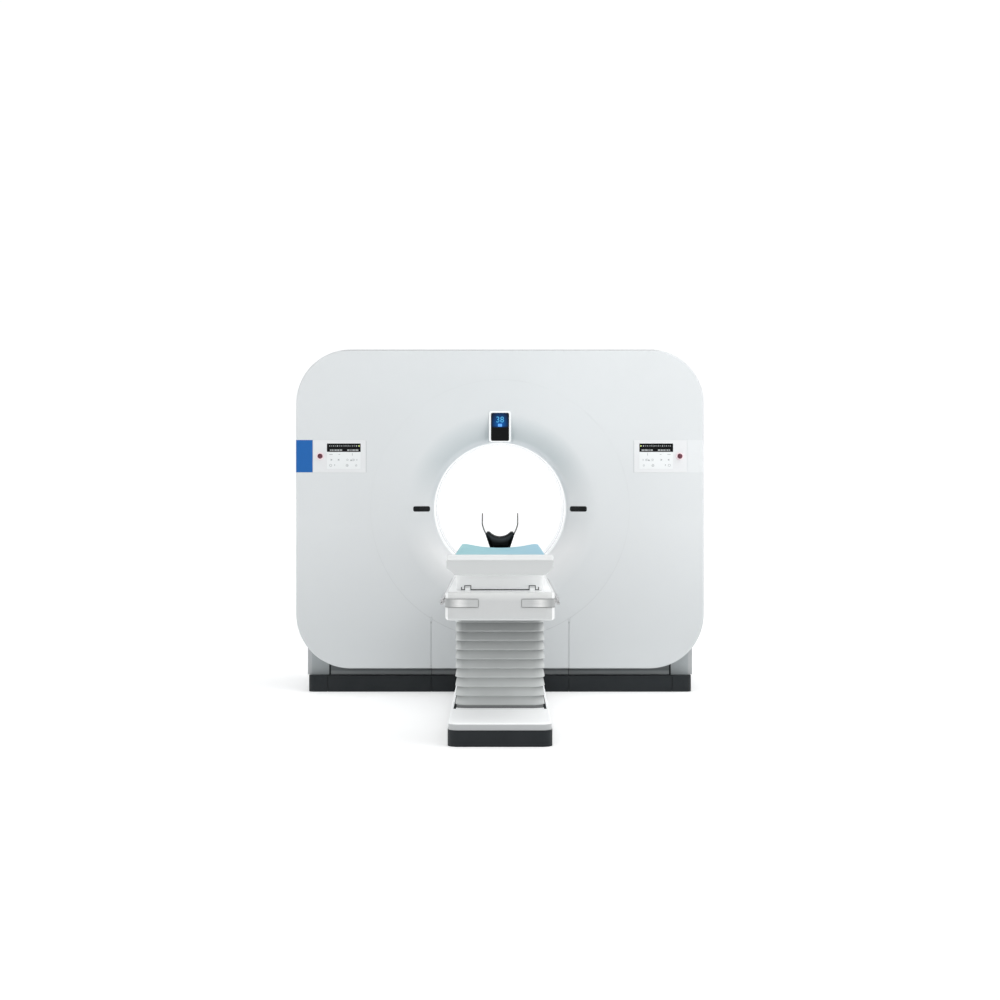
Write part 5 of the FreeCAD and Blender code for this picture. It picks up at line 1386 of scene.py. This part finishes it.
@dataclass
class Pad:
    """A padded piece: its CAD solid, swollen by a short cloth simulation."""

    node: str
    body: str
    slot: str
    voxel: float
    shrink: float
    cap: float
    pressure: float = 4.0
    fill: float = 0.8
    frames: int = 20

    def base(self) -> bpy.types.Object:
        """Copy of the solid, merged, remeshed evenly and drawn in a little.

        Returns:
            The copy, before it swells.
        """
        source = frame["nodes"][self.node]
        pad = source.copy()
        pad.data = source.data.copy()
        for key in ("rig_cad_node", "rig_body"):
            if key in pad:
                del pad[key]
        pad.parent = None
        pad.name = self.node + "_padded"
        bpy.context.scene.collection.objects.link(pad)
        with editing(pad):
            bpy.ops.mesh.select_all(action="SELECT")
            bpy.ops.mesh.remove_doubles(threshold=1e-5)
            bpy.ops.mesh.normals_make_consistent(inside=False)
        apply_modifier(pad, "REMESH", mode="VOXEL", voxel_size=self.voxel, use_smooth_shade=True)
        apply_modifier(pad, "DISPLACE", direction="NORMAL", mid_level=0.0, strength=-self.shrink)
        return pad

    def swell(self, pad: bpy.types.Object) -> None:
        """Blow the pad up a little and hold each point within the cap.

        Args:
            pad: The remeshed copy.
        """
        rest = [v.co.copy() for v in pad.data.vertices]
        select_only(pad)
        cloth = pad.modifiers.new("Cloth", "CLOTH")
        cloth.settings.effector_weights.gravity = 0
        cloth.settings.use_pressure = True
        cloth.settings.uniform_pressure_force = self.pressure
        cloth.settings.quality = 5
        cloth.point_cache.frame_start = 1
        cloth.point_cache.frame_end = self.frames
        scene = bpy.context.scene
        for step in range(1, self.frames + 1):
            scene.frame_set(step)
        bpy.ops.object.modifier_apply(modifier=cloth.name)
        scene.frame_set(1)
        for vertex, old in zip(pad.data.vertices, rest):
            move = vertex.co - old
            if move.length > self.cap:
                vertex.co = old + move * (self.cap / move.length)

    def build(self) -> bpy.types.Object:
        """Returns:
            The finished pad.
        """
        pad = self.base()
        self.swell(pad)
        apply_modifier(pad, "SUBSURF", levels=1, render_levels=1)
        smooth(pad, 60)
        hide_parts(self.node)
        mount(pad, self.body, self.slot)
        return pad


# ---------------------------------------------------------------------------
# Studio
# ---------------------------------------------------------------------------
@dataclass
class Studio:
    """Pale floor, soft lights and the camera at the photograph's angle."""

    camera_place: Triple = (0.0, -11.89, 1.229)
    lens: float = 68.14
    shift: float = -0.0125
    floor_size: float = 400.0
    sky_tone: Triple = (0.985, 0.995, 1.0)
    white: float = 1.04
    room: float = 0.27
    zenith: float = 1.3
    white_ends: tuple[float, float] = (0.27, 0.37)
    zenith_starts: tuple[float, float] = (0.70, 0.88)
    ceiling: float = 0.2
    tilt: float = 50.0
    spread: float = 60.0
    key: float = 52.0
    key_place: Triple = (2.6, -3.0, 4.2)
    key_aim: Triple = (1.0, -0.55, 1.7)
    key_size: tuple[float, float] = (2.6, 1.8)

    def floor(self) -> None:
        """Large pale floor."""
        bpy.ops.mesh.primitive_plane_add(size=self.floor_size, location=(0, 0, -0.0005))
        floor = bpy.context.object
        floor.name = "studio_floor"
        settle(floor)
        bench = NodeBench("studio_floor")
        tone = bench.two_tone(bench.noise(1.5, 2.0), (0.93, 0.93, 0.93), (0.95, 0.95, 0.95))
        bench.join(tone, bench.shader.inputs["Base Color"])
        bench.join(tone, bench.shader.inputs["Emission Color"])
        bench.shader.inputs["Emission Strength"].default_value = 0.38
        bench.shader.inputs["Roughness"].default_value = 0.6
        floor.data.materials.append(bench.material)

    def lamp(self, name: str, place: Triple, aim: Triple, size: tuple[float, float], power: float) -> None:
        """Soft rectangular lamp that points at a spot.

        Args:
            name: The lamp's name.
            place: Where it hangs.
            aim: The spot.
            size: Its width and height.
            power: Its power, in watts.
        """
        bpy.ops.object.light_add(type="AREA", location=place)
        lamp = bpy.context.object
        lamp.name = name
        lamp.data.shape = "RECTANGLE"
        lamp.data.size, lamp.data.size_y = size
        lamp.data.energy = power
        lamp.rotation_euler = (Vector(aim) - Vector(place)).to_track_quat("-Z", "Y").to_euler()

    def sky(self) -> None:
        """White all round at eye height, dimmer above that, and bright overhead."""
        world = bpy.data.worlds.new("studio")
        world.use_nodes = True
        tree = world.node_tree
        backdrop = tree.nodes["Background"]
        backdrop.inputs["Color"].default_value = (*self.sky_tone, 1)
        towards = tree.nodes.new("ShaderNodeTexCoord")
        split = tree.nodes.new("ShaderNodeSeparateXYZ")
        tree.links.new(towards.outputs["Generated"], split.inputs[0])
        total = tree.nodes.new("ShaderNodeMath")
        for i, row in enumerate(((*self.white_ends, self.white, self.room),
                                 (*self.zenith_starts, 0.0, self.zenith - self.room))):
            level = tree.nodes.new("ShaderNodeMapRange")
            for key, value in zip(("From Min", "From Max", "To Min", "To Max"), row):
                level.inputs[key].default_value = value
            tree.links.new(split.outputs[2], level.inputs["Value"])
            tree.links.new(level.outputs["Result"], total.inputs[i])
        tree.links.new(total.outputs[0], backdrop.inputs["Strength"])
        bpy.context.scene.world = world
        bpy.context.scene.view_settings.view_transform = "Standard"

    def overhead(self) -> None:
        """Broad even light from above and in front."""
        bpy.ops.object.light_add(type="SUN", location=(0, 0, 8), rotation=(math.radians(self.tilt), 0, 0))
        sun = bpy.context.object
        sun.name = "ceiling"
        sun.data.energy = self.ceiling
        sun.data.angle = math.radians(self.spread)

    def build(self) -> None:
        """Set up the floor, backdrop, lamps and camera."""
        self.floor()
        self.sky()
        self.overhead()
        self.lamp("lamp_key", self.key_place, self.key_aim, self.key_size, self.key)
        bpy.ops.object.camera_add(location=self.camera_place, rotation=(TILT, 0, 0))
        camera = bpy.context.object
        camera.data.lens = self.lens
        camera.data.sensor_width = 36.0
        camera.data.shift_y = self.shift
        camera.data.clip_end = 200.0
        bpy.context.scene.camera = camera


def dress_cad_nodes() -> None:
    """Give every CAD node the finish of its record slot, or its own look."""
    for part in frame["record"]["subparts"]:
        node = part["node"]
        dress(frame["nodes"][node], LOOKS.get(node, part["material_slot"]))
    log.info("%d CAD nodes dressed", len(frame["nodes"]))


def main() -> None:
    """Build the studio and every piece of the machine in order."""
    bpy.ops.object.select_all(action="DESELECT")
    Studio().build()
    dress_cad_nodes()
    LowerStrip().build()
    PlinthSeals().build()
    SeamGasket().build()
    SeamCaps().build()
    Display().build()
    Console().build()
    TrolleySeals().build()
    BellowsSeals().build()
    Bellows().build()
    Pad("mattress", "tabletop", "pad_cyan", voxel=0.0092, shrink=0.003, cap=0.005).build()
    Pad("head_pad", "tabletop", "foam_black", voxel=0.004, shrink=0.002, cap=0.004).build()


if __name__ == "__main__":
    main()
